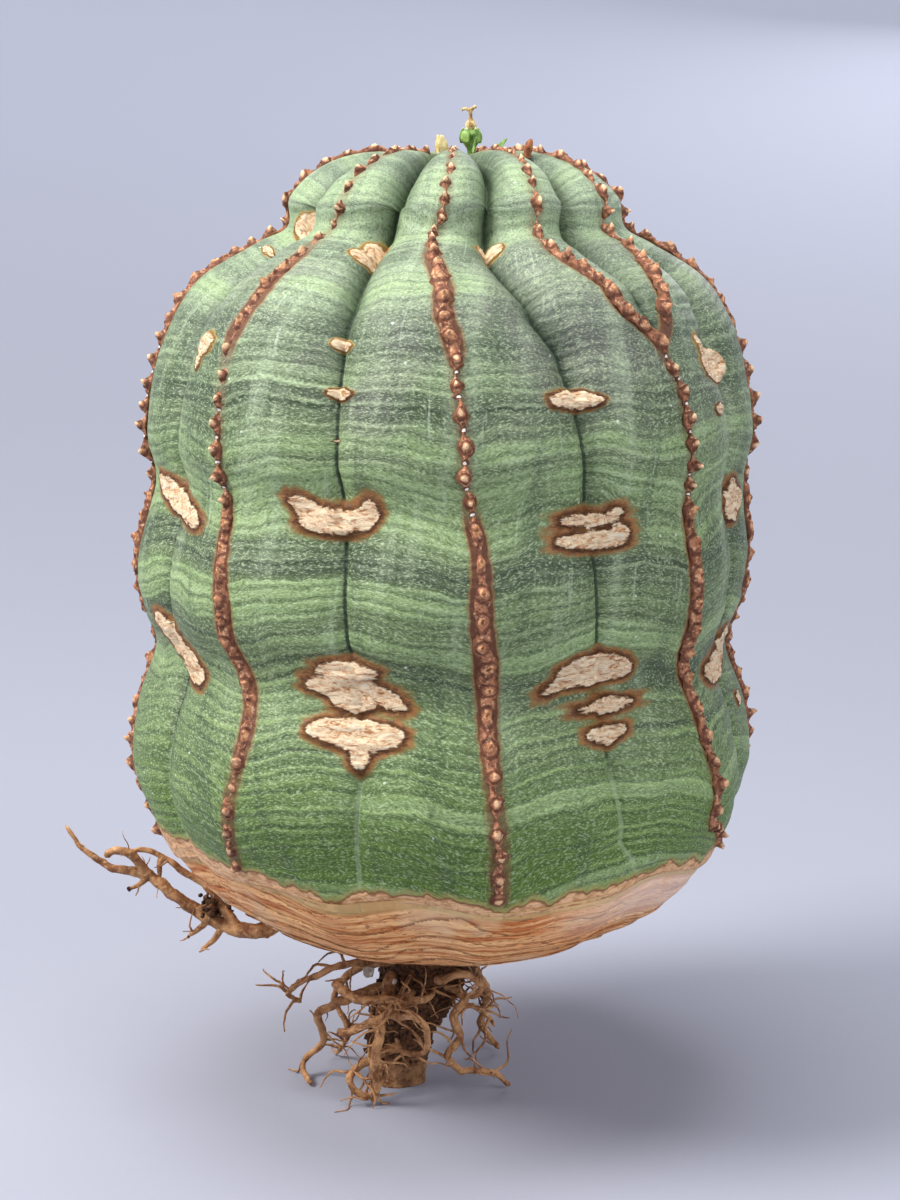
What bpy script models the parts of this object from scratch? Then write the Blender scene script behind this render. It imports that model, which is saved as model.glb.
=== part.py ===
"""Baseball plant (Euphorbia obesa), lifted from its soil and standing on its root bunch.

The origin is the centre of the taproot's flat cut end, on the floor. +Z is up and -Y is the front.
The pieces are modelled about the stem's axis, and their parent puts that axis beside the origin.
"""
import math
import random

import bmesh
import bpy
from mathutils import Vector
from mathutils.bvhtree import BVHTree

MM = 0.001
SEAT_GAP = 0.3 * MM

# Where the stem's axis stands, seen from the taproot's cut end
STEM_AXIS_PLACE = (8.5 * MM, -2.0 * MM, 0.0)

# Driving dimensions: the outline that the rib crests follow, radius and height
CREST_OUTLINE_MM = (
    (42.2, 42.0),
    (44.3, 46.5),
    (47.1, 54.5),
    (46.2, 63.0),
    (43.2, 72.0),
    (45.4, 79.5),
    (46.0, 87.0),
    (44.2, 97.0),
    (45.5, 104.0),
    (44.2, 112.5),
    (41.1, 121.0),
    (37.0, 127.0),
    (29.4, 131.8),
    (25.2, 134.2),
    (24.4, 138.6),
    (19.2, 143.0),
    (12.6, 145.0),
    (5.0, 144.6),
    (1.6, 144.0),
)
STEM_ROWS = 36
STEM_FOOT_HEIGHT = 42.0 * MM
APEX_HEIGHT = 143.8 * MM
# How far the stem's centre stands to the right of its axis, by height
CENTRE_MM = ((42, -0.8), (60, -1.2), (80, -1.0), (100, 0.0), (120, 0.0), (134, 1.0), (145, 0.4))

# Azimuth of each rib crest, in degrees from the front towards +X, at heights in millimetres
RIB_CRESTS = {
    "front": ((42, 10), (72, 8), (88, 6), (104, 2.5), (118, 1), (126, -2), (133, -7), (139, -3), (145, 0)),
    "front_right": (
        (42, 74), (46, 66), (50, 58), (66, 54), (80, 51), (96, 48.5), (112, 46), (118, 43.5), (126, 35),
        (133, 25), (139, 27.5), (145, 34),
    ),
    "right": ((42, 95), (75, 90), (110, 89), (130, 92), (145, 100)),
    "back_right": ((42, 140), (80, 136), (120, 137), (145, 146)),
    "back": ((42, 187), (80, 181), (120, 183), (145, 190)),
    "back_left": ((42, 232), (80, 228), (120, 227), (145, 228)),
    "left": ((45, 283), (57, 277), (70, 273), (90, 277), (116, 276), (132, 269), (145, 271)),
    "front_left": (
        (42, 318), (66, 323.5), (80, 318.5), (104, 315.5), (118, 315), (126, 317), (133, 316), (140, 321),
        (145, 323),
    ),
}
FORK_CREST = ((118, 43.5), (122, 47), (126, 50), (133, 56), (139, 60), (145, 68))
FORK_HEIGHT = 118.0 * MM
FORK_BLEND = 8.0 * MM
FULL_RIB_DEGREES = 45.0

# Depth of the grooves below the crests, by height, and how the rib faces fall towards them
GROOVE_DEPTH_MM = (
    (42, 0.9), (55, 2.2), (72, 2.0), (88, 2.6), (104, 3.2), (120, 4.4), (128, 5.4), (145, 5.8),
)
GROOVE_SHARE_OF_RADIUS = 0.34
FACE_ROUND = 0.45
FACE_CREASE = 0.55
COLUMN_STEPS = (0.0, 0.10, 0.35, 0.65, 0.90, 1.0, 1.10, 1.35, 1.65, 1.90)
FORK_COLUMN_STEPS = (
    0.0, 0.08, 0.20, 0.34, 0.46, 0.50, 0.54, 0.70, 0.86, 0.94, 1.0, 1.08, 1.24, 1.5, 1.76, 1.92,
)

# Keels: corky crest strips, each with one row of pointed tubercles
TUBERCLE_PITCH = 3.5 * MM
TUBERCLE_HEIGHT = 1.6 * MM
TUBERCLE_WIDTH = 2.3 * MM
KEEL_HEIGHT = 0.7 * MM
KEEL_WIDTH = 1.5 * MM
TUBERCLE_TILT = 0.35 * MM
KEEL_FOOT_INSET = 1.2 * MM
KEEL_TOP_RADIUS = 5.5 * MM
FORK_KEEL_CLEARANCE = 3.4 * MM

# The corky base: from the green skin's edge to the flat round the taproot
CORK_OUTLINE_MM = (
    (41.8, 41.7), (39.4, 38.2), (35.2, 33.8), (28.0, 29.2), (19.0, 26.4), (10.5, 25.2),
)
CORK_ROWS = 10
CORK_FLAT_HEIGHT = 25.2 * MM
CORK_LAYER_DEPTH = 0.45 * MM
CORK_LAYERS = 5.0
RIM_WAVES_MM = ((8, 0.7, 20.0), (13, 0.45, 75.0), (3, 0.6, 140.0))
RIM_WAVE_REACH = 9.0 * MM

# The root bunch: a stump of taproot that curves to its cut end, with thin side roots
# Its points are x, y and height from the stem's axis, and its radius there
TAPROOT_MM = (
    (-1.0, 1.0, 24.9, 8.6),
    (-2.5, 1.5, 20.0, 8.2),
    (-6.0, 2.0, 14.0, 6.6),
    (-8.0, 2.0, 7.0, 5.2),
    (-8.5, 2.0, 0.0, 4.4),
)
# Each side root is its radius at its start, and the points of its route
TAPROOT_SIDES = 14
TAPROOT_ROWS = 11
TAPROOT_LUMP = 0.09
ROOT_SIDES = 5
ROOT_STEP = 2.4 * MM
SIDE_ROOTS_MM = {
    "thick": (1.1, (
        (-9.0, -4.0, 19.0), (-10.5, -11.0, 15.5), (-11.2, -12.5, 11.5), (-11.5, -11.5, 7.5),
        (-11.3, -10.0, 3.5), (-12.0, -9.0, 0.55),
    )),
    "curl": (0.8, (
        (-8.5, -3.0, 7.0), (-13.5, -7.0, 6.0), (-15.5, -9.5, 4.0), (-13.0, -9.5, 1.6),
        (-10.4, -10.0, 4.4), (-9.6, -11.5, 7.4),
    )),
    "loop": (0.75, (
        (-5.5, -4.0, 17.0), (-8.5, -13.0, 16.2), (-5.5, -15.0, 16.6), (-3.4, -14.5, 13.6),
        (-4.0, -11.5, 9.8), (-7.0, -9.5, 8.6), (-8.5, -3.0, 8.5),
    )),
    "across": (0.8, (
        (-17.5, -9.0, 19.8), (-14.0, -12.5, 18.4), (-9.0, -13.5, 18.6), (-3.6, -10.0, 17.4),
        (-2.5, -3.0, 18.0),
    )),
    "slant": (0.7, ((-17.0, -7.0, 11.0), (-14.0, -10.5, 12.8), (-9.0, -13.0, 17.3), (-6.0, -6.0, 20.0))),
    "high_right": (0.75, (
        (-2.0, -5.0, 19.5), (-1.4, -9.0, 20.2), (2.6, -8.0, 20.6), (4.6, -6.0, 18.6),
        (3.8, -5.0, 16.2), (0.0, -2.5, 15.5),
    )),
    "right": (0.85, (
        (-2.5, -2.0, 17.5), (2.2, -6.0, 16.6), (0.7, -8.0, 14.0), (1.8, -7.5, 10.4),
        (-0.2, -7.0, 7.2), (1.6, -6.0, 4.4), (6.6, -4.6, 3.4), (9.4, -2.6, 0.5),
    )),
    "right_twig": (0.6, ((0.8, -7.6, 15.0), (3.6, -6.8, 15.4), (6.0, -5.8, 13.2), (7.0, -4.8, 11.2))),
    "back_right": (0.95, (
        (-1.0, 4.0, 20.0), (3.2, 8.5, 17.0), (6.0, 10.5, 11.5), (5.2, 11.5, 5.5),
        (8.0, 13.2, 0.55),
    )),
    "back": (0.9, (
        (-4.0, 6.0, 17.0), (-3.0, 12.0, 13.5), (-6.5, 15.0, 9.0), (-8.0, 13.0, 4.0),
        (-10.5, 15.5, 0.5),
    )),
    "left": (0.9, (
        (-7.0, 0.0, 17.0), (-15.0, -3.0, 15.5), (-20.5, -2.0, 12.0), (-20.0, 1.5, 6.5),
        (-23.5, 2.5, 2.4), (-22.0, -2.0, 0.5),
    )),
    "left_high": (0.75, (
        (-6.5, -2.0, 21.0), (-15.0, -6.0, 21.6), (-22.0, -5.0, 19.0), (-25.5, -2.0, 15.5),
        (-23.5, 1.0, 13.0),
    )),
    "left_back": (0.8, (
        (-6.0, 5.0, 18.0), (-13.5, 9.0, 16.5), (-18.5, 10.0, 11.0), (-16.5, 8.0, 5.5),
        (-18.5, 11.0, 0.5),
    )),
    "back_loop": (0.7, (
        (0.0, 6.0, 19.5), (3.5, 11.0, 19.8), (1.0, 14.5, 16.5), (-3.5, 13.5, 14.0),
        (-6.0, 7.0, 14.5),
    )),
}
LATERAL_TIP_SHARE = 0.6
LATERAL_SWAY = 0.45 * MM
LATERAL_SEED = 11

# The side root at the left, from the corky base out to its tips
LEFT_ROOT_MM = {
    "stem": (1.35, (
        (-27.4, -9.0, 27.6), (-31.4, -8.2, 28.0), (-35.4, -6.4, 28.3), (-39.6, -6.0, 30.9),
        (-43.0, -6.0, 33.4), (-46.3, -5.2, 35.7), (-48.9, -5.8, 39.3), (-51.4, -6.0, 40.0),
        (-52.8, -6.2, 39.0),
    )),
    "upper": (0.8, (
        (-32.5, -7.8, 28.4), (-35.4, -6.4, 31.6), (-38.3, -5.4, 34.9), (-41.3, -5.2, 36.5),
        (-43.9, -5.0, 38.5), (-46.4, -5.2, 39.8), (-49.0, -5.8, 39.6),
    )),
    "tip": (0.75, (
        (-46.2, -5.2, 35.7), (-49.4, -4.8, 36.4), (-52.1, -4.2, 36.6), (-54.8, -4.0, 38.2),
        (-57.2, -3.4, 40.4), (-59.2, -3.0, 43.0),
    )),
    "link": (0.6, ((-44.2, -5.0, 38.4), (-44.9, -5.4, 34.8))),
    "low_twig": (0.6, ((-36.6, -6.2, 29.0), (-38.6, -6.4, 27.4), (-40.2, -6.6, 26.4))),
    "low_twig_2": (0.6, ((-34.6, -6.8, 28.4), (-36.2, -7.0, 26.0), (-38.4, -7.4, 24.2))),
    "end_twig": (0.55, ((-46.4, -5.2, 35.6), (-47.8, -5.6, 34.6), (-49.2, -6.0, 33.8))),
}
SOIL_CLUMP_MM = (-36.4, -6.6, 31.2, 2.1)

# The pieces at the apex: where each stands on the skin, and the outlines they are turned from
CUP_PLACE_MM = (2.9, 0.0)
BUD_PLACE_MM = (-0.8, -2.8)
PEDUNCLE_PLACE_MM = (10.6, -7.2)
LEAFLET_PLACES_MM = {"leaflet_right": (5.4, -2.4), "leaflet_front": (2.9, -4.4)}
LEAFLET_LEANS = {"leaflet_right": (0.75, -0.1, 0.6), "leaflet_front": (0.35, -0.5, 0.8)}
CUP_LEAN = (0.05, 0.0, 1.0)
BUD_LEAN = (-0.2, -0.1, 1.0)
PEDUNCLE_LEAN = (0.3, -0.1, 1.0)
RAY_TOP = 160.0 * MM
CUP_OUTLINE_MM = (
    (0.0, 0.0), (0.55, 0.0), (0.60, 0.9), (1.10, 1.5), (1.62, 2.7), (1.50, 3.4), (1.05, 3.5), (0.0, 3.2),
)
OVARY_OUTLINE_MM = ((0.0, 0.0), (0.75, 0.0), (0.85, 0.5), (0.45, 1.15), (0.32, 1.5), (0.0, 1.55))
BUD_OUTLINE_MM = ((0.0, 0.0), (0.45, 0.0), (0.75, 0.9), (0.72, 1.7), (0.35, 2.6), (0.0, 2.8))
PEDUNCLE_OUTLINE_MM = ((0.0, 0.0), (0.60, 0.0), (0.62, 1.8), (0.42, 3.0), (0.0, 3.8))
TURNED_SIDES = 10
STYLE_ARMS_MM = (
    ((0.0, 0.0, 1.3), (-0.1, 0.0, 2.3), (-1.3, 0.1, 2.7)),
    ((0.0, 0.0, 1.3), (0.0, 0.0, 2.2), (0.8, -0.1, 3.1)),
    ((0.0, 0.0, 1.3), (0.0, 0.1, 2.2), (0.2, 1.0, 2.8)),
)
STYLE_RADIUS = 0.34 * MM
STYLE_SIDES = 4
LEAFLET_LENGTH = 2.8 * MM
LEAFLET_WIDTH = 1.2 * MM
LEAFLET_THICKNESS = 0.62 * MM

# Colour, roughness and metallic value of each material
MATERIALS = {
    "green_skin": ((0.185, 0.290, 0.165, 1.0), 0.55, 0.0),
    "brown_keel": ((0.155, 0.052, 0.024, 1.0), 0.75, 0.0),
    "tan_cork": ((0.500, 0.300, 0.150, 1.0), 0.80, 0.0),
    "root_bark": ((0.330, 0.165, 0.075, 1.0), 0.85, 0.0),
    "young_green": ((0.130, 0.270, 0.060, 1.0), 0.55, 0.0),
    "dry_tan": ((0.560, 0.430, 0.250, 1.0), 0.70, 0.0),
    "bud_yellow": ((0.780, 0.700, 0.340, 1.0), 0.60, 0.0),
    "dried_brown": ((0.200, 0.085, 0.040, 1.0), 0.80, 0.0),
}


def clear_scene():
    for obj in list(bpy.data.objects):
        bpy.data.objects.remove(obj, do_unlink=True)


def make_material(name):
    colour, roughness, metallic = MATERIALS[name]
    material = bpy.data.materials.new(name)
    material.use_nodes = True
    shader = material.node_tree.nodes["Principled BSDF"]
    shader.inputs["Base Color"].default_value = colour
    shader.inputs["Roughness"].default_value = roughness
    shader.inputs["Metallic"].default_value = metallic
    material.diffuse_color = colour
    return material


def make_object(name, vertices, faces, material):
    mesh = bpy.data.meshes.new(name)
    mesh.from_pydata([tuple(v) for v in vertices], [], faces)
    work = bmesh.new()
    work.from_mesh(mesh)
    bmesh.ops.recalc_face_normals(work, faces=work.faces)
    work.to_mesh(mesh)
    work.free()
    mesh.shade_smooth()
    mesh.set_sharp_from_angle(angle=math.radians(50))
    mesh.materials.append(material)
    obj = bpy.data.objects.new(name, mesh)
    bpy.context.collection.objects.link(obj)
    return obj


def smooth_step(value):
    value = min(1.0, max(0.0, value))
    return value * value * (3.0 - 2.0 * value)


def read_table(table, height):
    """Value at a height, eased between the table's points."""
    height_mm = height / MM
    if height_mm <= table[0][0]:
        return table[0][1]
    for (low, first), (high, second) in zip(table, table[1:]):
        if height_mm <= high:
            return first + (second - first) * smooth_step((height_mm - low) / (high - low))
    return table[-1][1]


def smooth_path(points, step):
    """Points about one step apart on a Catmull-Rom curve through the given ones."""
    points = [Vector(p) for p in points]
    ends = [2 * points[0] - points[1]] + points + [2 * points[-1] - points[-2]]
    path = []
    for a, b, c, d in zip(ends, ends[1:], ends[2:], ends[3:]):
        count = max(1, round((c - b).length / step))
        for i in range(count):
            t = i / count
            bend = (2 * a - 5 * b + 4 * c - d) * t**2
            twist = (3 * b - a - 3 * c + d) * t**3
            path.append(0.5 * (2 * b + (c - a) * t + bend + twist))
    path.append(points[-1])
    return path


def spaced(path, count):
    """The path's points, evenly spaced along its length, with its direction at each."""
    lengths = [0.0]
    for a, b in zip(path, path[1:]):
        lengths.append(lengths[-1] + (b - a).length)
    result = []
    index = 0
    for i in range(count):
        wanted = lengths[-1] * i / (count - 1)
        while index < len(path) - 2 and lengths[index + 1] < wanted:
            index += 1
        a, b = path[index], path[index + 1]
        share = (wanted - lengths[index]) / (lengths[index + 1] - lengths[index])
        result.append((a.lerp(b, share), (b - a).normalized()))
    return result


def centre_x(height):
    return read_table(CENTRE_MM, height) * MM


def crest_azimuths(height):
    return [read_table(table, height) for table in RIB_CRESTS.values()]


def fork_azimuth(height):
    return read_table(FORK_CREST, height)


def groove_share(azimuth, height):
    """How far towards its groove an azimuth lies, 0 at a crest, and the width of that rib gap."""
    crests = crest_azimuths(height)
    if height > FORK_HEIGHT:
        crests.append(fork_azimuth(height))
    crests = sorted(c % 360 for c in crests)
    azimuth %= 360
    for first, second in zip(crests, crests[1:] + [crests[0] + 360]):
        for turn in (0, 360):
            if first <= azimuth + turn <= second:
                width = second - first
                across = (azimuth + turn - first) / max(width, 1e-6)
                return 1 - abs(2 * across - 1), width
    return 0.0, FULL_RIB_DEGREES


def face_fall(share):
    """How far a rib face has fallen, 0 at its crest and 1 in the sharp groove."""
    return FACE_ROUND * share**2 + FACE_CREASE * share**5


def rim_wave(azimuth):
    """Rise and fall of the line where green skin meets cork."""
    waves = (size * math.cos(math.radians(times * azimuth + phase)) for times, size, phase in RIM_WAVES_MM)
    return MM * sum(waves)


def stem_point(azimuth, radius, height, slope_out, slope_up):
    """The skin at an azimuth: the crest outline, sunk along its normal towards the grooves."""
    share, width = groove_share(azimuth, height)
    depth = MM * read_table(GROOVE_DEPTH_MM, height) * min(1.0, width / FULL_RIB_DEGREES)
    depth = min(depth, GROOVE_SHARE_OF_RADIUS * radius)
    sink = depth * face_fall(share)
    radius -= sink * slope_out
    lift = rim_wave(azimuth) * smooth_step(1 - (height - STEM_FOOT_HEIGHT) / RIM_WAVE_REACH)
    turn = math.radians(azimuth)
    x = centre_x(height) + radius * math.sin(turn)
    return Vector((x, -radius * math.cos(turn), height - sink * slope_up + lift))


def outline_rows(outline, count):
    """Evenly spaced radius, height and outward normal along a turned outline."""
    path = smooth_path([(r * MM, z * MM, 0.0) for r, z in outline], 0.5 * MM)
    return [(p.x, p.y, along.y, -along.x) for p, along in spaced(path, count)]


def column_azimuths(height):
    """Azimuths of the mesh columns, so that crests and grooves each lie on one."""
    crests = crest_azimuths(height)
    gaps = list(zip(crests, crests[1:] + [crests[0] + 360]))
    azimuths = []
    for name, (first, second) in zip(RIB_CRESTS, gaps):
        if name != "front_right":
            azimuths += [first + (second - first) * step / 2 for step in COLUMN_STEPS]
            continue
        share = smooth_step((height - FORK_HEIGHT) / FORK_BLEND)
        fork = (fork_azimuth(height) - first) / (second - first)
        for index, step in enumerate(FORK_COLUMN_STEPS):
            below = index / len(FORK_COLUMN_STEPS)
            above = step * fork if step <= 1 else fork + (step - 1) * (1 - fork)
            azimuths.append(first + (second - first) * (below + (above - below) * share))
    return azimuths


def ring_faces(rows, columns):
    faces = []
    for row in range(rows - 1):
        for column in range(columns):
            after = (column + 1) % columns
            low = row * columns
            high = low + columns
            faces.append((low + column, low + after, high + after))
            faces.append((low + column, high + after, high + column))
    return faces


def fan_faces(first, columns, centre):
    return [(first + i, first + (i + 1) % columns, centre) for i in range(columns)]


def make_stem(material):
    vertices = []
    rows = outline_rows(CREST_OUTLINE_MM, STEM_ROWS)
    for radius, height, slope_out, slope_up in rows:
        for azimuth in column_azimuths(height):
            vertices.append(stem_point(azimuth, radius, height, slope_out, slope_up))
    columns = len(vertices) // STEM_ROWS
    faces = ring_faces(STEM_ROWS, columns)
    vertices.append(Vector((centre_x(APEX_HEIGHT), 0.0, APEX_HEIGHT)))
    faces += fan_faces((STEM_ROWS - 1) * columns, columns, len(vertices) - 1)
    vertices.append(Vector((centre_x(STEM_FOOT_HEIGHT), 0.0, STEM_FOOT_HEIGHT)))
    faces += fan_faces(0, columns, len(vertices) - 1)
    return make_object("stem", vertices, faces, material)


def crest_line(table, lowest):
    """The crest's polyline on the stem's own rows, from low to high."""
    line = []
    for radius, height, slope_out, slope_up in outline_rows(CREST_OUTLINE_MM, STEM_ROWS):
        if height > lowest and radius > KEEL_TOP_RADIUS:
            azimuth = read_table(table, height)
            line.append((stem_point(azimuth, radius, height, slope_out, slope_up), azimuth))
    return line


def make_keel(name, table, lowest, material):
    """A strip of triangular section over one crest, raised to a point at every tubercle."""
    line = crest_line(table, lowest)
    path = [point for point, azimuth in line]
    turns = {tuple(point): azimuth for point, azimuth in line}
    length = sum((b - a).length for a, b in zip(path, path[1:]))
    count = 2 * round(length / TUBERCLE_PITCH) + 1
    vertices = []
    for index, (point, along) in enumerate(spaced(path, count)):
        nearest = min(turns, key=lambda p: (Vector(p) - point).length)
        turn = math.radians(turns[nearest])
        side = Vector((math.cos(turn), math.sin(turn), 0.0))
        side = (side - along * side.dot(along)).normalized()
        outward = side.cross(along).normalized()
        at_tubercle = index % 2 == 1
        half = (TUBERCLE_WIDTH if at_tubercle else KEEL_WIDTH) / 2
        rise = TUBERCLE_HEIGHT if at_tubercle else KEEL_HEIGHT
        tip = along * (TUBERCLE_TILT if at_tubercle else 0.0)
        seat = point + outward * SEAT_GAP
        vertices += [seat - side * half, seat + side * half, seat + outward * rise + tip]
    faces = ring_faces(count, 3)
    faces.append((0, 1, 2))
    last = 3 * (count - 1)
    faces.append((last, last + 1, last + 2))
    return make_object(name, vertices, faces, material)


def make_keels(material):
    for name, table in RIB_CRESTS.items():
        make_keel("keel_" + name, table, STEM_FOOT_HEIGHT + KEEL_FOOT_INSET, material)
    make_keel("keel_fork", FORK_CREST, FORK_HEIGHT + FORK_KEEL_CLEARANCE, material)


def make_cork_base(material):
    """A shallow bowl of papery layers that closes the stem from below."""
    azimuths = column_azimuths(STEM_FOOT_HEIGHT)
    stem_rim = outline_rows(CREST_OUTLINE_MM, STEM_ROWS)[0]
    vertices = []
    for index, (radius, height, slope_out, slope_up) in enumerate(outline_rows(CORK_OUTLINE_MM, CORK_ROWS)):
        fade = index / (CORK_ROWS - 1)
        for azimuth in azimuths:
            turn = math.radians(azimuth)
            uneven = 1.5 * math.sin(4 * turn) + math.cos(7 * turn)
            layer = math.sin(2 * math.pi * CORK_LAYERS * fade + uneven)
            inset = CORK_LAYER_DEPTH * (0.5 + 0.5 * layer) * math.sin(math.pi * fade)
            share = groove_share(azimuth, STEM_FOOT_HEIGHT)[0]
            groove = MM * GROOVE_DEPTH_MM[0][1] * face_fall(share) * (1 - fade)
            reach = radius - groove - inset
            rise = height + rim_wave(azimuth) * (1 - fade) ** 2
            x = centre_x(STEM_FOOT_HEIGHT) + reach * math.sin(turn)
            vertices.append(Vector((x, -reach * math.cos(turn), rise)))
    columns = len(azimuths)
    for column, azimuth in enumerate(azimuths):
        radius, height, slope_out, slope_up = stem_rim
        rim = stem_point(azimuth, radius, height, slope_out, slope_up)
        vertices[column] = rim - Vector((0.0, 0.0, SEAT_GAP))
    faces = ring_faces(CORK_ROWS, columns)
    vertices.append(Vector((centre_x(STEM_FOOT_HEIGHT), 0.0, STEM_FOOT_HEIGHT - SEAT_GAP)))
    faces += fan_faces(0, columns, len(vertices) - 1)
    vertices.append(Vector((centre_x(STEM_FOOT_HEIGHT), 0.0, CORK_FLAT_HEIGHT)))
    faces += fan_faces((CORK_ROWS - 1) * columns, columns, len(vertices) - 1)
    return make_object("cork_base", vertices, faces, material)


def tube(points, radii, sides):
    """Vertices and faces of a closed tube that follows the points."""
    vertices = []
    reference = Vector((0.3, 0.2, 1.0)).normalized()
    for index, (point, radius) in enumerate(zip(points, radii)):
        before = points[max(0, index - 1)]
        after = points[min(len(points) - 1, index + 1)]
        along = (after - before).normalized()
        across = reference - along * reference.dot(along)
        if across.length < 0.2:
            across = Vector((1.0, 0.0, 0.0)) - along * along.x
        across.normalize()
        reference = across
        other = along.cross(across)
        for side in range(sides):
            turn = 2 * math.pi * side / sides
            vertices.append(point + (across * math.cos(turn) + other * math.sin(turn)) * radius)
    faces = ring_faces(len(points), sides)
    faces.append(tuple(range(sides)))
    last = sides * (len(points) - 1)
    faces.append(tuple(range(last, last + sides)))
    return vertices, faces


def root_tube(radius_mm, points_mm, rng, material, name):
    """One root: a thin tube that sways a little and narrows to its tip, never below the floor."""
    path = smooth_path([Vector(p) * MM for p in points_mm], ROOT_STEP)
    radii = []
    for index, point in enumerate(path):
        share = index / (len(path) - 1)
        radii.append(radius_mm * MM * (1 - (1 - LATERAL_TIP_SHARE) * share))
        if 0 < index < len(path) - 1:
            for axis in range(3):
                point[axis] += rng.uniform(-LATERAL_SWAY, LATERAL_SWAY)
    vertices, faces = tube(path, radii, ROOT_SIDES)
    for vertex in vertices:
        vertex.z = max(vertex.z, 0.0)
    return make_object(name, vertices, faces, material)


def fuse(name, pieces, material):
    """One Boolean union of the pieces, under the given name."""
    base = pieces[0]
    group = bpy.data.collections.new(name + "_parts")
    for piece in pieces[1:]:
        bpy.context.collection.objects.unlink(piece)
        group.objects.link(piece)
    union = base.modifiers.new("union", "BOOLEAN")
    union.operation = "UNION"
    union.operand_type = "COLLECTION"
    union.collection = group
    union.solver = "EXACT"
    union.use_self = True
    bpy.context.view_layer.update()
    evaluated = base.evaluated_get(bpy.context.evaluated_depsgraph_get())
    mesh = bpy.data.meshes.new_from_object(evaluated)
    base.modifiers.clear()
    for piece in pieces:
        bpy.data.objects.remove(piece, do_unlink=True)
    bpy.data.collections.remove(group)
    mesh.name = name
    mesh.materials.clear()
    mesh.materials.append(material)
    obj = bpy.data.objects.new(name, mesh)
    bpy.context.collection.objects.link(obj)
    return obj


def make_taproot(material):
    """A lumpy stump from under the corky base to its flat cut end on the floor."""
    centres = smooth_path([Vector(p[:3]) * MM for p in TAPROOT_MM], 1.0 * MM)
    rows = spaced(centres, TAPROOT_ROWS)
    thickness = [(p[2], p[3]) for p in reversed(TAPROOT_MM)]
    vertices = []
    for point, along in rows:
        radius = MM * read_table(thickness, point.z)
        for side in range(TAPROOT_SIDES):
            turn = 2 * math.pi * side / TAPROOT_SIDES
            lump = math.sin(3 * turn + 0.26 * point.z / MM) * math.cos(2 * turn - 0.41 * point.z / MM)
            offset = Vector((math.cos(turn), math.sin(turn), 0.0)) * radius * (1 + TAPROOT_LUMP * lump)
            vertices.append(point + offset)
    faces = ring_faces(TAPROOT_ROWS, TAPROOT_SIDES)
    faces.append(tuple(range(TAPROOT_SIDES)))
    last = TAPROOT_SIDES * (TAPROOT_ROWS - 1)
    faces.append(tuple(range(last, last + TAPROOT_SIDES)))
    return make_object("taproot", vertices, faces, material)


def make_root_bunch(material):
    rng = random.Random(LATERAL_SEED)
    pieces = [make_taproot(material)]
    for name, (radius, points) in SIDE_ROOTS_MM.items():
        pieces.append(root_tube(radius, points, rng, material, "root_" + name))
    return fuse("root_bunch", pieces, material)


def make_side_root(material):
    rng = random.Random(LATERAL_SEED + 1)
    pieces = []
    for name, (radius, points) in LEFT_ROOT_MM.items():
        pieces.append(root_tube(radius, points, rng, material, "left_" + name))
    x, y, z, radius = (value * MM for value in SOIL_CLUMP_MM)
    work = bmesh.new()
    bmesh.ops.create_icosphere(work, subdivisions=1, radius=radius)
    bmesh.ops.translate(work, verts=work.verts, vec=(x, y, z))
    mesh = bpy.data.meshes.new("clump")
    work.to_mesh(mesh)
    work.free()
    clump = bpy.data.objects.new("clump", mesh)
    bpy.context.collection.objects.link(clump)
    pieces.append(clump)
    return fuse("side_root", pieces, material)


def turned(outline_mm, base, lean, sides):
    """Vertices and faces of an outline turned about a leaning axis that starts at base."""
    upright = Vector((0.0, 0.0, 1.0)).rotation_difference(Vector(lean).normalized())
    vertices = []
    rings = outline_mm[1:-1]
    for radius, height in rings:
        for side in range(sides):
            turn = 2 * math.pi * side / sides
            local = Vector((radius * math.cos(turn), radius * math.sin(turn), height)) * MM
            vertices.append(base + upright @ local)
    faces = ring_faces(len(rings), sides)
    for outline_point, ring in ((outline_mm[0], 0), (outline_mm[-1], len(rings) - 1)):
        vertices.append(base + upright @ Vector((0.0, 0.0, outline_point[1] * MM)))
        faces += fan_faces(ring * sides, sides, len(vertices) - 1)
    return vertices, faces


def make_leaflet(name, base, lean, material):
    """A small thick blade, pointed at its tip."""
    upright = Vector((0.0, 0.0, 1.0)).rotation_difference(Vector(lean).normalized())
    outline = ((0.35, 0.0), (0.9, 0.35), (1.0, 0.55), (0.5, 0.85), (0.15, 1.0))
    vertices = []
    for width, along in outline:
        half = LEAFLET_WIDTH / 2 * width
        thick = LEAFLET_THICKNESS / 2
        for x, y in ((-half, -thick), (half, -thick), (half, thick), (-half, thick)):
            vertices.append(base + upright @ Vector((x, y, along * LEAFLET_LENGTH)))
    faces = ring_faces(len(outline), 4)
    faces.append((0, 1, 2, 3))
    last = 4 * (len(outline) - 1)
    faces.append((last, last + 1, last + 2, last + 3))
    return make_object(name, vertices, faces, material)


def seat_on(skin, place_mm, reach_mm):
    """A place at the apex, just above the skin's highest point within reach of it."""
    x, y = (value * MM for value in place_mm)
    heights = []
    for side in range(TURNED_SIDES):
        turn = 2 * math.pi * side / TURNED_SIDES
        for reach in (0.0, reach_mm * MM / 2, reach_mm * MM):
            start = Vector((x + reach * math.cos(turn), y + reach * math.sin(turn), RAY_TOP))
            hit = skin.ray_cast(start, Vector((0.0, 0.0, -1.0)))[0]
            heights.append(hit.z)
    return Vector((x, y, max(heights) + SEAT_GAP))


def make_turned(name, outline_mm, base, lean, material):
    return make_object(name, *turned(outline_mm, base, lean, TURNED_SIDES), material)


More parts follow.
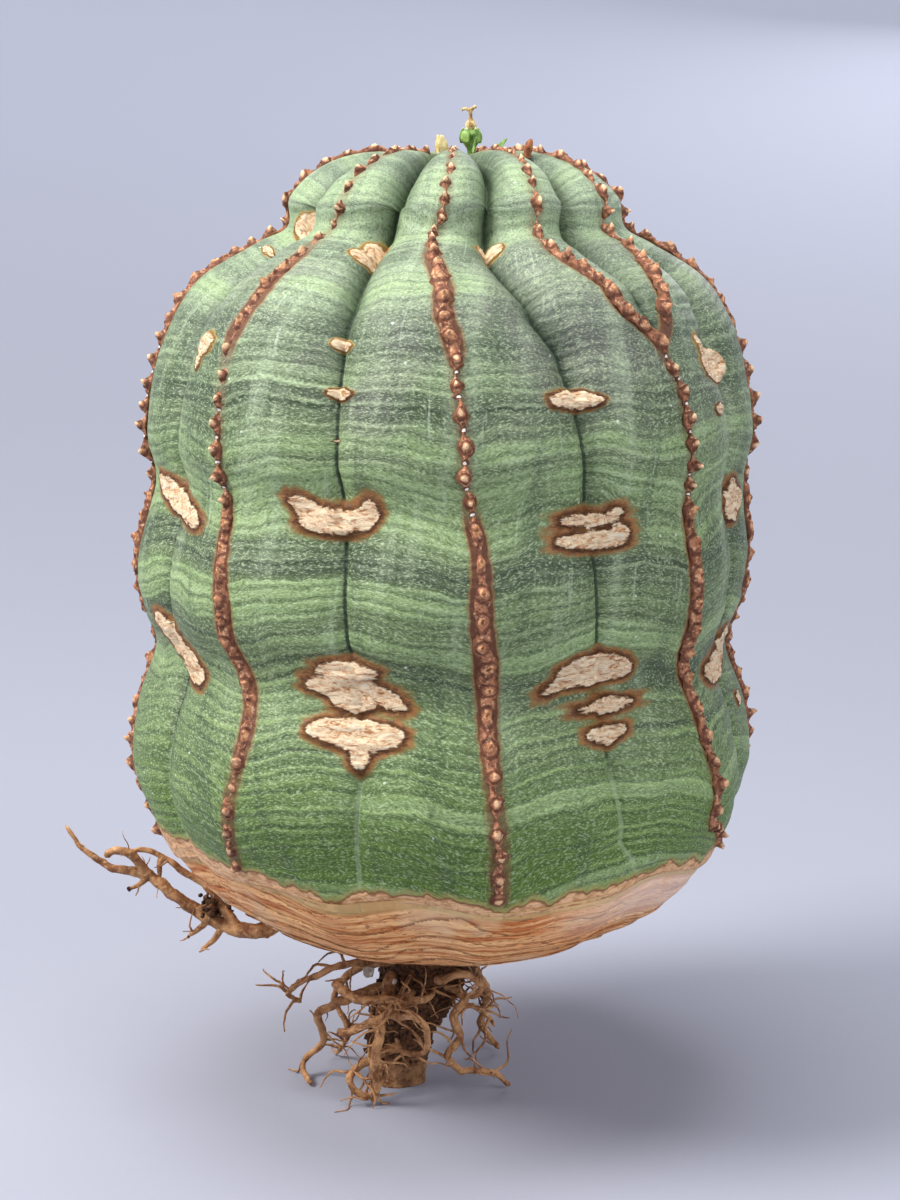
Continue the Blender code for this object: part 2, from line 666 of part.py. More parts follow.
def make_apex_pieces(stem, materials):
    skin = BVHTree.FromPolygons([v.co for v in stem.data.vertices], [p.vertices for p in stem.data.polygons])
    cup_base = seat_on(skin, CUP_PLACE_MM, CUP_OUTLINE_MM[1][0])
    make_turned("cyathium", CUP_OUTLINE_MM, cup_base, CUP_LEAN, materials["young_green"])
    ovary_base = cup_base + Vector((0.0, 0.0, CUP_OUTLINE_MM[-2][1] * MM + 2 * SEAT_GAP))
    pieces = [make_turned("ovary", OVARY_OUTLINE_MM, ovary_base, (0.0, 0.0, 1.0), materials["dry_tan"])]
    for index, arm in enumerate(STYLE_ARMS_MM):
        path = [ovary_base + Vector(p) * MM for p in arm]
        arm_tube = tube(path, [STYLE_RADIUS] * len(path), STYLE_SIDES)
        pieces.append(make_object(f"arm_{index}", *arm_tube, materials["dry_tan"]))
    fuse("ovary_and_style", pieces, materials["dry_tan"])
    bud_base = seat_on(skin, BUD_PLACE_MM, BUD_OUTLINE_MM[1][0])
    make_turned("flower_bud", BUD_OUTLINE_MM, bud_base, BUD_LEAN, materials["bud_yellow"])
    old_base = seat_on(skin, PEDUNCLE_PLACE_MM, PEDUNCLE_OUTLINE_MM[1][0])
    make_turned("old_peduncle", PEDUNCLE_OUTLINE_MM, old_base, PEDUNCLE_LEAN, materials["dried_brown"])
    for name, place in LEAFLET_PLACES_MM.items():
        base = seat_on(skin, place, LEAFLET_WIDTH / MM / 2)
        make_leaflet(name, base, LEAFLET_LEANS[name], materials["young_green"])


def main():
    clear_scene()
    materials = {name: make_material(name) for name in MATERIALS}
    stem = make_stem(materials["green_skin"])
    make_keels(materials["brown_keel"])
    make_cork_base(materials["tan_cork"])
    make_root_bunch(materials["root_bark"])
    make_side_root(materials["root_bark"])
    make_apex_pieces(stem, materials)
    plant = bpy.data.objects.new("plant", None)
    plant.location = STEM_AXIS_PLACE
    bpy.context.collection.objects.link(plant)
    for obj in bpy.data.objects:
        if obj.type == "MESH":
            obj.parent = plant


main()
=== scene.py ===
"""Looks of the baseball plant: fine skin with scars, corky keels, layered base, roots and flower."""
import math
import random
from functools import reduce
import bmesh
import bpy
import numpy as np
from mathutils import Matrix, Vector


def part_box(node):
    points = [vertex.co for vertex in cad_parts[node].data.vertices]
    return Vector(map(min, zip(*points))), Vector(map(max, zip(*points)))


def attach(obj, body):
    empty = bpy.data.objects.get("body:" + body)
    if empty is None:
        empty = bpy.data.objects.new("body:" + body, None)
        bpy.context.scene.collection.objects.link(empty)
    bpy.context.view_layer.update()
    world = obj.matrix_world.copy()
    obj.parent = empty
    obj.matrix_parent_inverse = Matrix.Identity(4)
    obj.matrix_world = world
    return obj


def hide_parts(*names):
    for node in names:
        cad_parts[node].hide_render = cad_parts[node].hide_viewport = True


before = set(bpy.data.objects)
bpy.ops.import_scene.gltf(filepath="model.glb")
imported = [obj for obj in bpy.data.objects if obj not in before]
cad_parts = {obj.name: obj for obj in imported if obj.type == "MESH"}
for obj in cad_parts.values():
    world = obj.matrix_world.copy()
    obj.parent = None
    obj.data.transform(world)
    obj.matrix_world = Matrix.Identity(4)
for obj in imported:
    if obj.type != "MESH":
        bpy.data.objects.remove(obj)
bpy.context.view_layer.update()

MM = 0.001
SEED = 2317

# The stem's axis stands here, seen from the taproot's cut end
AXIS_X = 8.5
AXIS_Y = -2.0

# The same outline, ribs and grooves as the solids, in millimetres and degrees
CREST_OUTLINE = (
    (42.2, 42.0), (44.3, 46.5), (47.1, 54.5), (46.2, 63.0), (43.2, 72.0), (45.4, 79.5), (46.0, 87.0),
    (44.2, 97.0), (45.5, 104.0), (44.2, 112.5), (41.1, 121.0), (37.0, 127.0), (29.4, 131.8),
    (25.2, 134.2), (24.4, 138.6), (19.2, 143.0), (12.6, 145.0), (5.0, 144.6), (1.6, 144.0),
)
RIB_CRESTS = {
    "front": ((42, 10), (72, 8), (88, 6), (104, 2.5), (118, 1), (126, -2), (133, -7), (139, -3), (145, 0)),
    "front_right": (
        (42, 74), (46, 66), (50, 58), (66, 54), (80, 51), (96, 48.5), (112, 46), (118, 43.5), (126, 35),
        (133, 25), (139, 27.5), (145, 34),
    ),
    "right": ((42, 95), (75, 90), (110, 89), (130, 92), (145, 100)),
    "back_right": ((42, 140), (80, 136), (120, 137), (145, 146)),
    "back": ((42, 187), (80, 181), (120, 183), (145, 190)),
    "back_left": ((42, 232), (80, 228), (120, 227), (145, 228)),
    "left": ((45, 283), (57, 277), (70, 273), (90, 277), (116, 276), (132, 269), (145, 271)),
    "front_left": (
        (42, 318), (66, 323.5), (80, 318.5), (104, 315.5), (118, 315), (126, 317), (133, 316), (140, 321),
        (145, 323),
    ),
}
FORK_CREST = ((118, 43.5), (122, 47), (126, 50), (133, 56), (139, 60), (145, 68))
FORK_HEIGHT = 118.0
FORK_BLEND = 8.0
FULL_RIB_DEGREES = 45.0
GROOVE_DEPTH = (
    (42, 0.9), (55, 2.2), (72, 2.0), (88, 2.6), (104, 3.2), (120, 4.4), (128, 5.4), (145, 5.8),
)
GROOVE_SHARE_OF_RADIUS = 0.34
FACE_ROUND = 0.45
FACE_CREASE = 0.55
STEM_FOOT_HEIGHT = 42.0
APEX_HEIGHT = 143.8
CENTRE = ((42, -0.8), (60, -1.2), (80, -1.0), (100, 0.0), (120, 0.0), (134, 1.0), (145, 0.4))
RIM_WAVES = ((8, 0.7, 20.0), (13, 0.45, 75.0), (3, 0.6, 140.0))
RIM_WAVE_REACH = 9.0

# Fineness of the skin's mesh
SKIN_ROWS = 330
SKIN_COLUMNS_PER_RIB = 32
SKIN_PATTERN_RADIUS = 44.0

# Cork climbs a little up the stem on the left
CORK_CLIMB = 4.5
CORK_CLIMB_AZIMUTH = -98.0

# Corky scars: height and azimuth of the middle, then ellipses that grow together. Each ellipse is
# its place to the right and upwards, its half width and half height in millimetres, and its tilt
FRONT_SCARS = (
    (96.2, -20.6, ((-4.9, 1.3, 2.6, 1, -0.5), (-0.8, -0.3, 4.8, 1.5, 0), (3.9, 0.3, 2.2, 1.3, 0.35),
                   (4.7, 1.7, 0.7, 1, 0))),
    (94.4, 26.2, ((-0.2, 1.6, 4.3, 0.7, 0), (0.2, -1.1, 5.6, 1.1, 0), (4.9, -0.5, 1.2, 1.3, 0),
                  (3.9, 2.2, 1.1, 0.7, 0.5))),
    (74.5, 28, ((0.3, 0.3, 5.4, 2.1, 0.05), (-4.6, -1.3, 2.8, 0.7, 0.35), (4.6, 0.2, 2.6, 1.5, -0.2))),
    (69.9, 32, ((0, 0, 4.2, 0.55, 0.03), (0.2, 0.1, 2, 0.9, 0))),
    (66.5, 31, ((0, 0, 3.2, 0.95, 0.05), (0.1, -0.7, 1.2, 0.9, 0))),
    (73.2, -16.5, ((-0.8, 2.2, 4.2, 1.1, -0.05), (-0.3, -0.5, 6.4, 1.3, -0.12), (0.3, -1.9, 3, 1.2, 0),
                   (-0.2, 0.8, 2.6, 1.4, 0), (5.6, -1.8, 2.2, 0.7, -0.35))),
    (66.9, -14.8, ((0, 0.4, 6.4, 2, -0.03), (-4.8, 1, 2.6, 1.1, 0.15), (0.3, -2.8, 1.1, 1.6, 0))),
    (112.5, 23.5, ((0, 0, 4, 0.95, -0.05), (-0.6, 0.1, 2.6, 1.25, 0))),
    (113.7, -21, ((0, 0, 2, 0.6, -0.12), (0.3, -0.1, 1.1, 0.8, 0))),
    (120.5, -22, ((0, 0, 1.6, 0.7, -0.15), (-0.5, 0.3, 0.8, 0.6, 0))),
    (107, -21, ((0, 0, 0.6, 0.25, 0),)),
    (132.4, -28, ((0, 0, 1.9, 1.2, 0), (0.7, 2.3, 1.7, 0.8, 0.1))),
    (133, 11, ((-0.6, 0.5, 1.6, 0.7, -0.1), (0.2, -0.5, 0.8, 1, 0))),
    (118.6, -54, ((0, 0, 2.3, 1.6, 0.2), (-1, -2.6, 0.8, 1, 0.4))),
    (95.8, -63, ((-4.6, 1.2, 4.6, 1.3, -0.25), (4.6, -1, 4.6, 1.3, -0.25), (0, 0, 3, 1.5, -0.2))),
    (74.2, -62, ((-3.4, 2.4, 3.6, 2, -0.6), (3.2, -1.6, 4.2, 2, -0.4), (-0.4, 0.4, 2.6, 2, -0.5))),
    (115.6, 63.5, ((0, 0, 5.4, 2.6, 0), (-3.2, 3.2, 1.6, 1.5, -0.5))),
    (109.4, 59, ((0, 0, 1.6, 0.8, 0),)),
    (95.1, 73, ((0, 0, 4, 1.7, 0), (-0.6, -1.4, 1.8, 1.5, 0), (0, 2, 1.4, 1, 0))),
    (71.4, 71, ((0, 0, 6.4, 2.2, 0.15), (2.4, 2.2, 3.2, 1.3, 0.4), (-4.6, -0.6, 2.8, 1.4, 0))),
    (64.5, 80, ((0, 0, 1.3, 1.2, 0),)),
    (134.9, -70, ((0, 0, 2.8, 1, 0.1),)),
    (132, -75, ((0, 0, 1.5, 0.7, 0),)),
)
BACK_SCAR_HEIGHTS = (131.0, 113.0, 95.5, 73.5, 66.5)
BACK_SCAR_SIZES = ((1.8, 0.8), (2.8, 1.0), (5.6, 1.6), (6.4, 2.0), (4.8, 1.4))
BACK_GROOVES = ("right", "back_right", "back", "back_left")
SCAR_BLEND = 0.7
BRIDGED_SHARE = 0.78

# Keels
TUBERCLE_PITCH = 3.5
TUBERCLE_HEIGHT = 1.5
KEEL_HEIGHT = 0.7
KEEL_WIDTHS = (
    (42, 2.8), (60, 2.4), (68, 2.7), (76, 3.4), (82, 3.3), (94, 2.4), (100, 2.0), (116, 2.1), (121, 2.8),
    (129, 2.7), (134, 1.9), (145, 1.5),
)
KEEL_APART = (
    (42, 0.6), (60, 0.55), (66, 0.0), (95, 0.0), (99, 1.0), (116, 1.0), (120, 0.12), (129, 0.12), (133, 1.0),
)
KEEL_SUNK = 0.25
KEEL_FOOT_INSET = 1.2
KEEL_TOP_RADIUS = 5.5
FORK_KEEL_CLEARANCE = 3.4
KEEL_STEPS_PER_TUBERCLE = 16
KEEL_PROFILE_POINTS = 13
KEEL_END_STEPS = 6
KEEL_SEAM_DEPTH = 0.35
DOT_HEIGHTS = (97, 118)

# Corky base
CORK_OUTLINE = ((41.8, 41.7), (39.4, 38.2), (35.2, 33.8), (28.0, 29.2), (19.0, 26.4), (10.5, 25.2))
CORK_ROWS = 150
CORK_COLUMNS = 420
CORK_FLAT_HEIGHT = 25.2
CORK_LAYER_DEPTH = 0.5
CORK_LAYERS = 5.0

# Roots: taproot points are x, y, height and radius from the stem's axis
TAPROOT = (
    (-1, 1, 24.9, 8.6), (-2.5, 1.5, 20, 8.2), (-6, 2, 14, 6.6), (-8, 2, 7, 5.2),
    (-8.5, 2, 0, 4.4),
)
SIDE_ROOTS = {
    "thick": (1.1, ((-9, -4, 19), (-10.5, -11, 15.5), (-11.2, -12.5, 11.5), (-11.5, -11.5, 7.5),
                    (-11.3, -10, 3.5), (-12, -9, 0.55))),
    "curl": (0.8, ((-8.5, -3, 7), (-13.5, -7, 6), (-15.5, -9.5, 4), (-13, -9.5, 1.6),
                   (-10.4, -10, 4.4), (-9.6, -11.5, 7.4))),
    "loop": (0.75, ((-5.5, -4, 17), (-8.5, -13, 16.2), (-5.5, -15, 16.6), (-3.4, -14.5, 13.6),
                    (-4, -11.5, 9.8), (-7, -9.5, 8.6), (-8.5, -3, 8.5))),
    "across": (0.8, ((-17.5, -9, 19.8), (-14, -12.5, 18.4), (-9, -13.5, 18.6), (-3.6, -10, 17.4),
                     (-2.5, -3, 18))),
    "slant": (0.7, ((-17, -7, 11), (-14, -10.5, 12.8), (-9, -13, 17.3), (-6, -6, 20))),
    "high_right": (0.75, ((-2, -5, 19.5), (-1.4, -9, 20.2), (2.6, -8, 20.6), (4.6, -6, 18.6),
                          (3.8, -5, 16.2), (0, -2.5, 15.5))),
    "right": (0.85, ((-2.5, -2, 17.5), (2.2, -6, 16.6), (0.7, -8, 14), (1.8, -7.5, 10.4),
                     (-0.2, -7, 7.2), (1.6, -6, 4.4), (6.6, -4.6, 3.4), (9.4, -2.6, 0.5))),
    "right_twig": (0.6, ((0.8, -7.6, 15), (3.6, -6.8, 15.4), (6, -5.8, 13.2), (7, -4.8, 11.2))),
    "back_right": (0.95, ((-1, 4, 20), (3.2, 8.5, 17), (6, 10.5, 11.5), (5.2, 11.5, 5.5),
                          (8, 13.2, 0.55))),
    "back": (0.9, ((-4, 6, 17), (-3, 12, 13.5), (-6.5, 15, 9), (-8, 13, 4),
                   (-10.5, 15.5, 0.5))),
    "left": (0.9, ((-7, 0, 17), (-15, -3, 15.5), (-20.5, -2, 12), (-20, 1.5, 6.5),
                   (-23.5, 2.5, 2.4), (-22, -2, 0.5))),
    "left_high": (0.75, ((-6.5, -2, 21), (-15, -6, 21.6), (-22, -5, 19), (-25.5, -2, 15.5),
                         (-23.5, 1, 13))),
    "left_back": (0.8, ((-6, 5, 18), (-13.5, 9, 16.5), (-18.5, 10, 11), (-16.5, 8, 5.5),
                        (-18.5, 11, 0.5))),
    "back_loop": (0.7, ((0, 6, 19.5), (3.5, 11, 19.8), (1, 14.5, 16.5), (-3.5, 13.5, 14),
                        (-6, 7, 14.5))),
}
LEFT_ROOTS = {
    "stem": (1.35, ((-24.6, -8.6, 30.6), (-27.6, -8.9, 28.3), (-31.4, -8.2, 28), (-35.4, -6.4, 28.3),
                    (-39.6, -6, 30.9), (-43, -6, 33.4), (-46.3, -5.2, 35.7), (-48.9, -5.8, 39.3),
                    (-51.4, -6, 40), (-52.8, -6.2, 39))),
    "upper": (0.8, ((-32.5, -7.8, 28.4), (-35.4, -6.4, 31.6), (-38.3, -5.4, 34.9), (-41.3, -5.2, 36.5),
                    (-43.9, -5, 38.5), (-46.4, -5.2, 39.8), (-49, -5.8, 39.6))),
    "tip": (0.75, ((-46.2, -5.2, 35.7), (-49.4, -4.8, 36.4), (-52.1, -4.2, 36.6), (-54.8, -4, 38.2),
                   (-57.2, -3.4, 40.4), (-59.2, -3, 43))),
    "link": (0.6, ((-44.2, -5, 38.4), (-44.9, -5.4, 34.8))),
    "low_twig": (0.6, ((-36.6, -6.2, 29), (-38.6, -6.4, 27.4), (-40.2, -6.6, 26.4))),
    "low_twig_2": (0.6, ((-34.6, -6.8, 28.4), (-36.2, -7, 26), (-38.4, -7.4, 24.2))),
    "end_twig": (0.55, ((-46.4, -5.2, 35.6), (-47.8, -5.6, 34.6), (-49.2, -6, 33.8))),
}
LATERAL_TIP_SHARE = 0.45
LATERAL_SWAY = 0.35
ROOTLET_STEP = 0.7
ROOTLET_DROOP = 0.03

# Leaves and bracts: cross-sections along the blade, each with these points across and through it
BLADE_ROWS = 9
BLADE_SECTION = (
    (-1, 0), (-0.5, 0.32), (0, 0.5), (0.5, 0.32), (1, 0), (0.5, -0.32), (0, -0.5), (-0.5, -0.32),
)

# Camera: it stands in front of the stem's axis and looks a little down
PHOTO_SIZE = (900, 1200)
CAMERA_DISTANCE = 350.0
CAMERA_HEIGHT = 142.0
CAMERA_PITCH = 10.4
FOCAL_PIXELS = 2333.0
SENSOR = 36.0

# Studio: one smooth bowl of floor and wall, with soft lights inside it
STUDIO_FLOOR_RADIUS = 0.3
STUDIO_BEND = 1.1
STUDIO_TOP = 1.3
STUDIO_BEND_STEPS = 16
STUDIO_SIDES = 96
STUDIO_PALER_HEIGHTS = (0.0, 0.30)


def smooth(value, low=0.0, high=1.0):
    value = np.clip((value - low) / (high - low), 0.0, 1.0)
    return value * value * (3.0 - 2.0 * value)


def read_table(table, height):
    """Value at a height, eased between the table's points, as in the solids."""
    if height <= table[0][0]:
        return table[0][1]
    for (low, first), (high, second) in zip(table, table[1:]):
        if height <= high:
            return first + (second - first) * float(smooth((height - low) / (high - low)))
    return table[-1][1]


def smooth_path(points, step):
    """Points about one step apart on a Catmull-Rom curve through the given ones."""
    points = np.asarray(points, float)
    ends = np.vstack([2 * points[0] - points[1], points, 2 * points[-1] - points[-2]])
    path = []
    for a, b, c, d in zip(ends, ends[1:], ends[2:], ends[3:]):
        count = max(1, round(float(np.linalg.norm(c - b)) / step))
        for i in range(count):
            t = i / count
            bend = (2 * a - 5 * b + 4 * c - d) * t**2
            twist = (3 * b - a - 3 * c + d) * t**3
            path.append(0.5 * (2 * b + (c - a) * t + bend + twist))
    path.append(points[-1])
    return np.array(path)


def spaced(path, count):
    """The path's points, evenly spaced along its length, its directions and its length."""
    steps = np.linalg.norm(np.diff(path, axis=0), axis=1)
    along = np.concatenate([[0.0], np.cumsum(steps)])
    wanted = np.linspace(0.0, along[-1], count)
    points = np.stack([np.interp(wanted, along, path[:, k]) for k in range(path.shape[1])], axis=1)
    directions = np.gradient(points, axis=0)
    directions /= np.linalg.norm(directions, axis=1)[:, None]
    return points, directions, along[-1]


def hashed(cells, seed):
    """A repeatable random number from 0 to 1 for each whole-number cell."""
    cells = cells.astype(np.int64)
    mixed = np.int64(seed * 2654435761)
    for axis, prime in enumerate((73856093, 19349663, 83492791)):
        mixed = mixed ^ cells[..., axis] * prime
    mixed = (mixed ^ (mixed >> 13)) * 1274126177 & 0x7FFFFFFF
    mixed = (mixed ^ (mixed >> 15)) * 69069 & 0x7FFFFFFF
    return (mixed & 0xFFFFFF) / float(0xFFFFFF)


def lattice_noise(points, scale, seed):
    """Smooth noise from -1 to 1 with one value a cell, at points in millimetres."""
    places = points / scale
    low = np.floor(places)
    part = smooth(places - low)
    total = np.zeros(places.shape[:-1])
    for corner in range(8):
        step = np.array([corner & 1, corner >> 1 & 1, corner >> 2 & 1])
        weight = np.prod(np.where(step == 1, part, 1 - part), axis=-1)
        total += weight * hashed(low + step, seed)
    return 2 * total - 1


def layered_noise(points, scale, seed, layers=3):
    total = 0.0
    for layer in range(layers):
        total = total + lattice_noise(points, scale / 2**layer, seed + layer) / 2**layer
    return total


def centre_x(height):
    """How far the stem's centre stands to the right of its axis."""
    return read_table(CENTRE, height)


def crests_at(height):
    return np.array([read_table(table, height) for table in RIB_CRESTS.values()], float)


def rim_wave(azimuth):
    return sum(size * np.cos(np.radians(times * azimuth + phase)) for times, size, phase in RIM_WAVES)


def face_fall(share):
    return FACE_ROUND * share**2 + FACE_CREASE * share**5


def groove_share(azimuths, height):
    """0 at a crest and 1 in a groove, the width of each rib gap, and degrees from the nearest crest."""
    crests = crests_at(height)
    if height > FORK_HEIGHT:
        crests = np.append(crests, read_table(FORK_CREST, height))
    crests = np.sort(crests % 360)
    turned = azimuths % 360
    index = np.searchsorted(crests, turned, side="right") - 1
    first = np.where(index < 0, crests[-1] - 360, crests[index])
    after = np.where(index + 1 >= len(crests), crests[0] + 360, crests[(index + 1) % len(crests)])
    after = np.where(index < 0, crests[0], after)
    width = after - first
    across = (turned - first) / np.maximum(width, 1e-6)
    nearest = np.where(across < 0.5, first, after)
    return 1 - np.abs(2 * across - 1), width, turned - nearest


def groove_depth(width, radius, height):
    """How far a groove lies below the crests, for a rib gap of the given width in degrees."""
    depth = read_table(GROOVE_DEPTH, height) * np.minimum(1.0, width / FULL_RIB_DEGREES)
    return np.minimum(depth, GROOVE_SHARE_OF_RADIUS * radius)


def skin_point(azimuths, radius, height, slope_out, slope_up):
    """The smooth skin at azimuths of one outline row, in millimetres about the stem's axis."""
    share, width = groove_share(azimuths, height)[:2]
    sink = groove_depth(width, radius, height) * face_fall(share)
    reach = radius - sink * slope_out
    lift = rim_wave(azimuths) * float(smooth(1 - (height - STEM_FOOT_HEIGHT) / RIM_WAVE_REACH))
    turn = np.radians(azimuths)
    x = centre_x(height) + reach * np.sin(turn)
    return np.stack([x, -reach * np.cos(turn), height - sink * slope_up + lift], axis=1)


def outline_rows(outline, count):
    """Evenly spaced radius, height and outward normal along a turned outline, and its length."""
    points, along, length = spaced(smooth_path(outline, 0.2), count)
    return np.column_stack([points[:, 0], points[:, 1], along[:, 1], -along[:, 0]]), length


def column_azimuths(height, per_rib):
    """Azimuths of the fine columns, closer together by crests and grooves."""
    half = np.linspace(0.0, 1.0, per_rib // 2, endpoint=False)
    eased = half - 0.11 * np.sin(4 * np.pi * half) / 2
    steps = np.concatenate([eased, 1 + eased]) / 2
    crests = crests_at(height)
    after = np.append(crests[1:], crests[0] + 360)
    azimuths = []
    for name, first, second in zip(RIB_CRESTS, crests, after):
        if name != "front_right":
            azimuths.append(first + (second - first) * steps)
            continue
        share = float(smooth((height - FORK_HEIGHT) / FORK_BLEND))
        fork = (read_table(FORK_CREST, height) - first) / (second - first)
        above = np.concatenate([steps * fork, fork + steps * (1 - fork)])
        below = np.linspace(0.0, 1.0, 2 * len(steps), endpoint=False)
        azimuths.append(first + (second - first) * (below + (above - below) * share))
    return np.concatenate(azimuths)


def ring_faces(rows, columns):
    """Four-sided faces between the rings of a stack."""
    rings = np.arange(rows * columns).reshape(rows, columns)
    low, high = rings[:-1], rings[1:]
    quads = [low, np.roll(low, -1, axis=1), np.roll(high, -1, axis=1), high]
    return np.stack(quads, axis=-1).reshape(-1, 4).tolist()


def fan_faces(first, columns, centre):
    return [(first + (i + 1) % columns, first + i, centre) for i in range(columns)]


def closed_faces(rows, columns):
    """The faces of a stack of rings and of its two flat ends."""
    last = (rows - 1) * columns
    return ring_faces(rows, columns) + [tuple(range(columns)), tuple(range(last, last + columns))]


def level_ring(radius, turn, height):
    """Points at one height round an upright axis, the first of them to the right."""
    return np.stack([radius * np.cos(turn), radius * np.sin(turn), 0 * turn + height], axis=1)


def add_object(name, data):
    thing = bpy.data.objects.new(name, data)
    bpy.context.collection.objects.link(thing)
    return thing


def smooth_object(name, vertices, faces, material):
    """An object with a smooth mesh whose faces all look to the same side."""
    mesh = bpy.data.meshes.new(name)
    mesh.from_pydata(vertices, [], faces)
    work = bmesh.new()
    work.from_mesh(mesh)
    bmesh.ops.recalc_face_normals(work, faces=work.faces)
    work.to_mesh(mesh)
    work.free()
    mesh.shade_smooth()
    mesh.materials.append(material)
    return add_object(name, mesh)


def new_piece(name, vertices_mm, faces, material, slot, *nodes):
    """A smooth mesh, given in millimetres about the stem's axis, that stands for the named nodes."""
    vertices = np.asarray(vertices_mm, float) + np.array([AXIS_X, AXIS_Y, 0.0])
    piece = smooth_object(name, (vertices * MM).tolist(), faces, material)
    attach(piece, "root")
    if nodes:
        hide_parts(*nodes)
    return piece


def set_attribute(piece, name, values):
    layer = piece.data.attributes.new(name, "FLOAT", "POINT")
    layer.data.foreach_set("value", np.asarray(values, np.float32))


class Shader:
    """Adds and links the nodes of one material."""

    def __init__(self, name, specular):
        self.material = bpy.data.materials.new(name)
        self.material.use_nodes = True
        self.tree = self.material.node_tree
        self.surface = self.tree.nodes["Principled BSDF"]
        self.surface.inputs["Specular IOR Level"].default_value = specular

    def add(self, kind, inputs=(), **settings):
        """A new node with its settings, and with numbers or links for the inputs named."""
        node = self.tree.nodes.new(kind)
        for key, value in settings.items():
            setattr(node, key, value)
        for key, value in dict(inputs).items():
            self.feed(node.inputs[key], value)
        return node

    def feed(self, socket, value):
        if isinstance(value, bpy.types.NodeSocket):
            self.tree.links.new(value, socket)
        else:
            socket.default_value = value

    def attribute(self, name):
        return self.add("ShaderNodeAttribute", attribute_name=name).outputs["Fac"]

    def position(self):
        return self.add("ShaderNodeTexCoord").outputs["Object"]

    def coordinate(self, place, axis):
        return self.add("ShaderNodeSeparateXYZ", {0: place}).outputs[axis]

    def math(self, operation, first, second=0.0):
        return self.add("ShaderNodeMath", {0: first, 1: second}, operation=operation).outputs[0]

    def total(self, *values):
        return reduce(lambda first, second: self.math("ADD", first, second), values)

    def times(self, *values):
        return reduce(lambda first, second: self.math("MULTIPLY", first, second), values)

    def vector(self, x, y, z, x_scale=1.0, y_scale=1.0):
        """A place made of three values, the first two scaled."""
        x = x if x_scale == 1.0 else self.times(x, x_scale)
        y = y if y_scale == 1.0 else self.times(y, y_scale)
        return self.add("ShaderNodeCombineXYZ", {0: x, 1: y, 2: z}).outputs[0]

    def centred(self, value, size):
        """A noise from 0 to 1 made to swing about zero."""
        return self.times(self.math("SUBTRACT", value, 0.5), size)

    def noise(self, vector, scale, detail=3.0, rough=0.55, distortion=0.0):
        inputs = {"Vector": vector, "Scale": scale, "Detail": detail, "Roughness": rough}
        inputs["Distortion"] = distortion
        return self.add("ShaderNodeTexNoise", inputs).outputs["Fac"]

    def cells(self, vector, scale):
        return self.add("ShaderNodeTexVoronoi", {"Vector": vector, "Scale": scale}).outputs["Distance"]

    def step(self, value, low, high):
        """0 below low and 1 above high, eased between; the other way round where low is above high."""
        first, last = (1.0, 0.0) if low > high else (0.0, 1.0)
        inputs = {"Value": value, "From Min": min(low, high), "From Max": max(low, high)}
        inputs.update({"To Min": first, "To Max": last})
        return self.add("ShaderNodeMapRange", inputs, interpolation_type="SMOOTHSTEP").outputs["Result"]

    def paint(self, base, *coats):
        """A base colour under coats: each is a colour, its strength and the spans where it lies.

        A span is a plain value, or a value with the two limits between which it is eased.
        """
        base = linear(base)
        for colour, strength, *spans in coats:
            factors = [self.step(*span) if isinstance(span, tuple) else span for span in spans]
            if strength != 1.0:
                factors.append(strength)
            inputs = {"Factor": self.times(*factors), 6: base, 7: linear(colour)}
            base = self.add("ShaderNodeMix", inputs, data_type="RGBA").outputs[2]
        return base

    def between(self, share, low, high):
        """A number from low to high as the share goes from 0 to 1."""
        return self.total(low, self.times(share, high - low))

    def finish(self, colour, roughness, *bumps):
        """The material, with each bump given as its height and its depth in millimetres."""
        surface = self.surface.inputs
        self.feed(surface["Base Color"], colour)
        self.feed(surface["Roughness"], roughness)
        below = {}
        for height, depth_mm in bumps:
            inputs = {"Strength": 1.0, "Distance": depth_mm * MM, "Height": height, **below}
            below = {"Normal": self.add("ShaderNodeBump", inputs).outputs["Normal"]}
        self.feed(surface["Normal"], below["Normal"])
        return self.material


def linear(colour):
    """The linear colour of 8-bit sRGB values; a colour that comes from a node stays as it is."""
    if not isinstance(colour, tuple):
        return colour
    shares = [value / 255 for value in colour]
    return (*(s / 12.92 if s <= 0.04045 else ((s + 0.055) / 1.055) ** 2.4 for s in shares), 1.0)


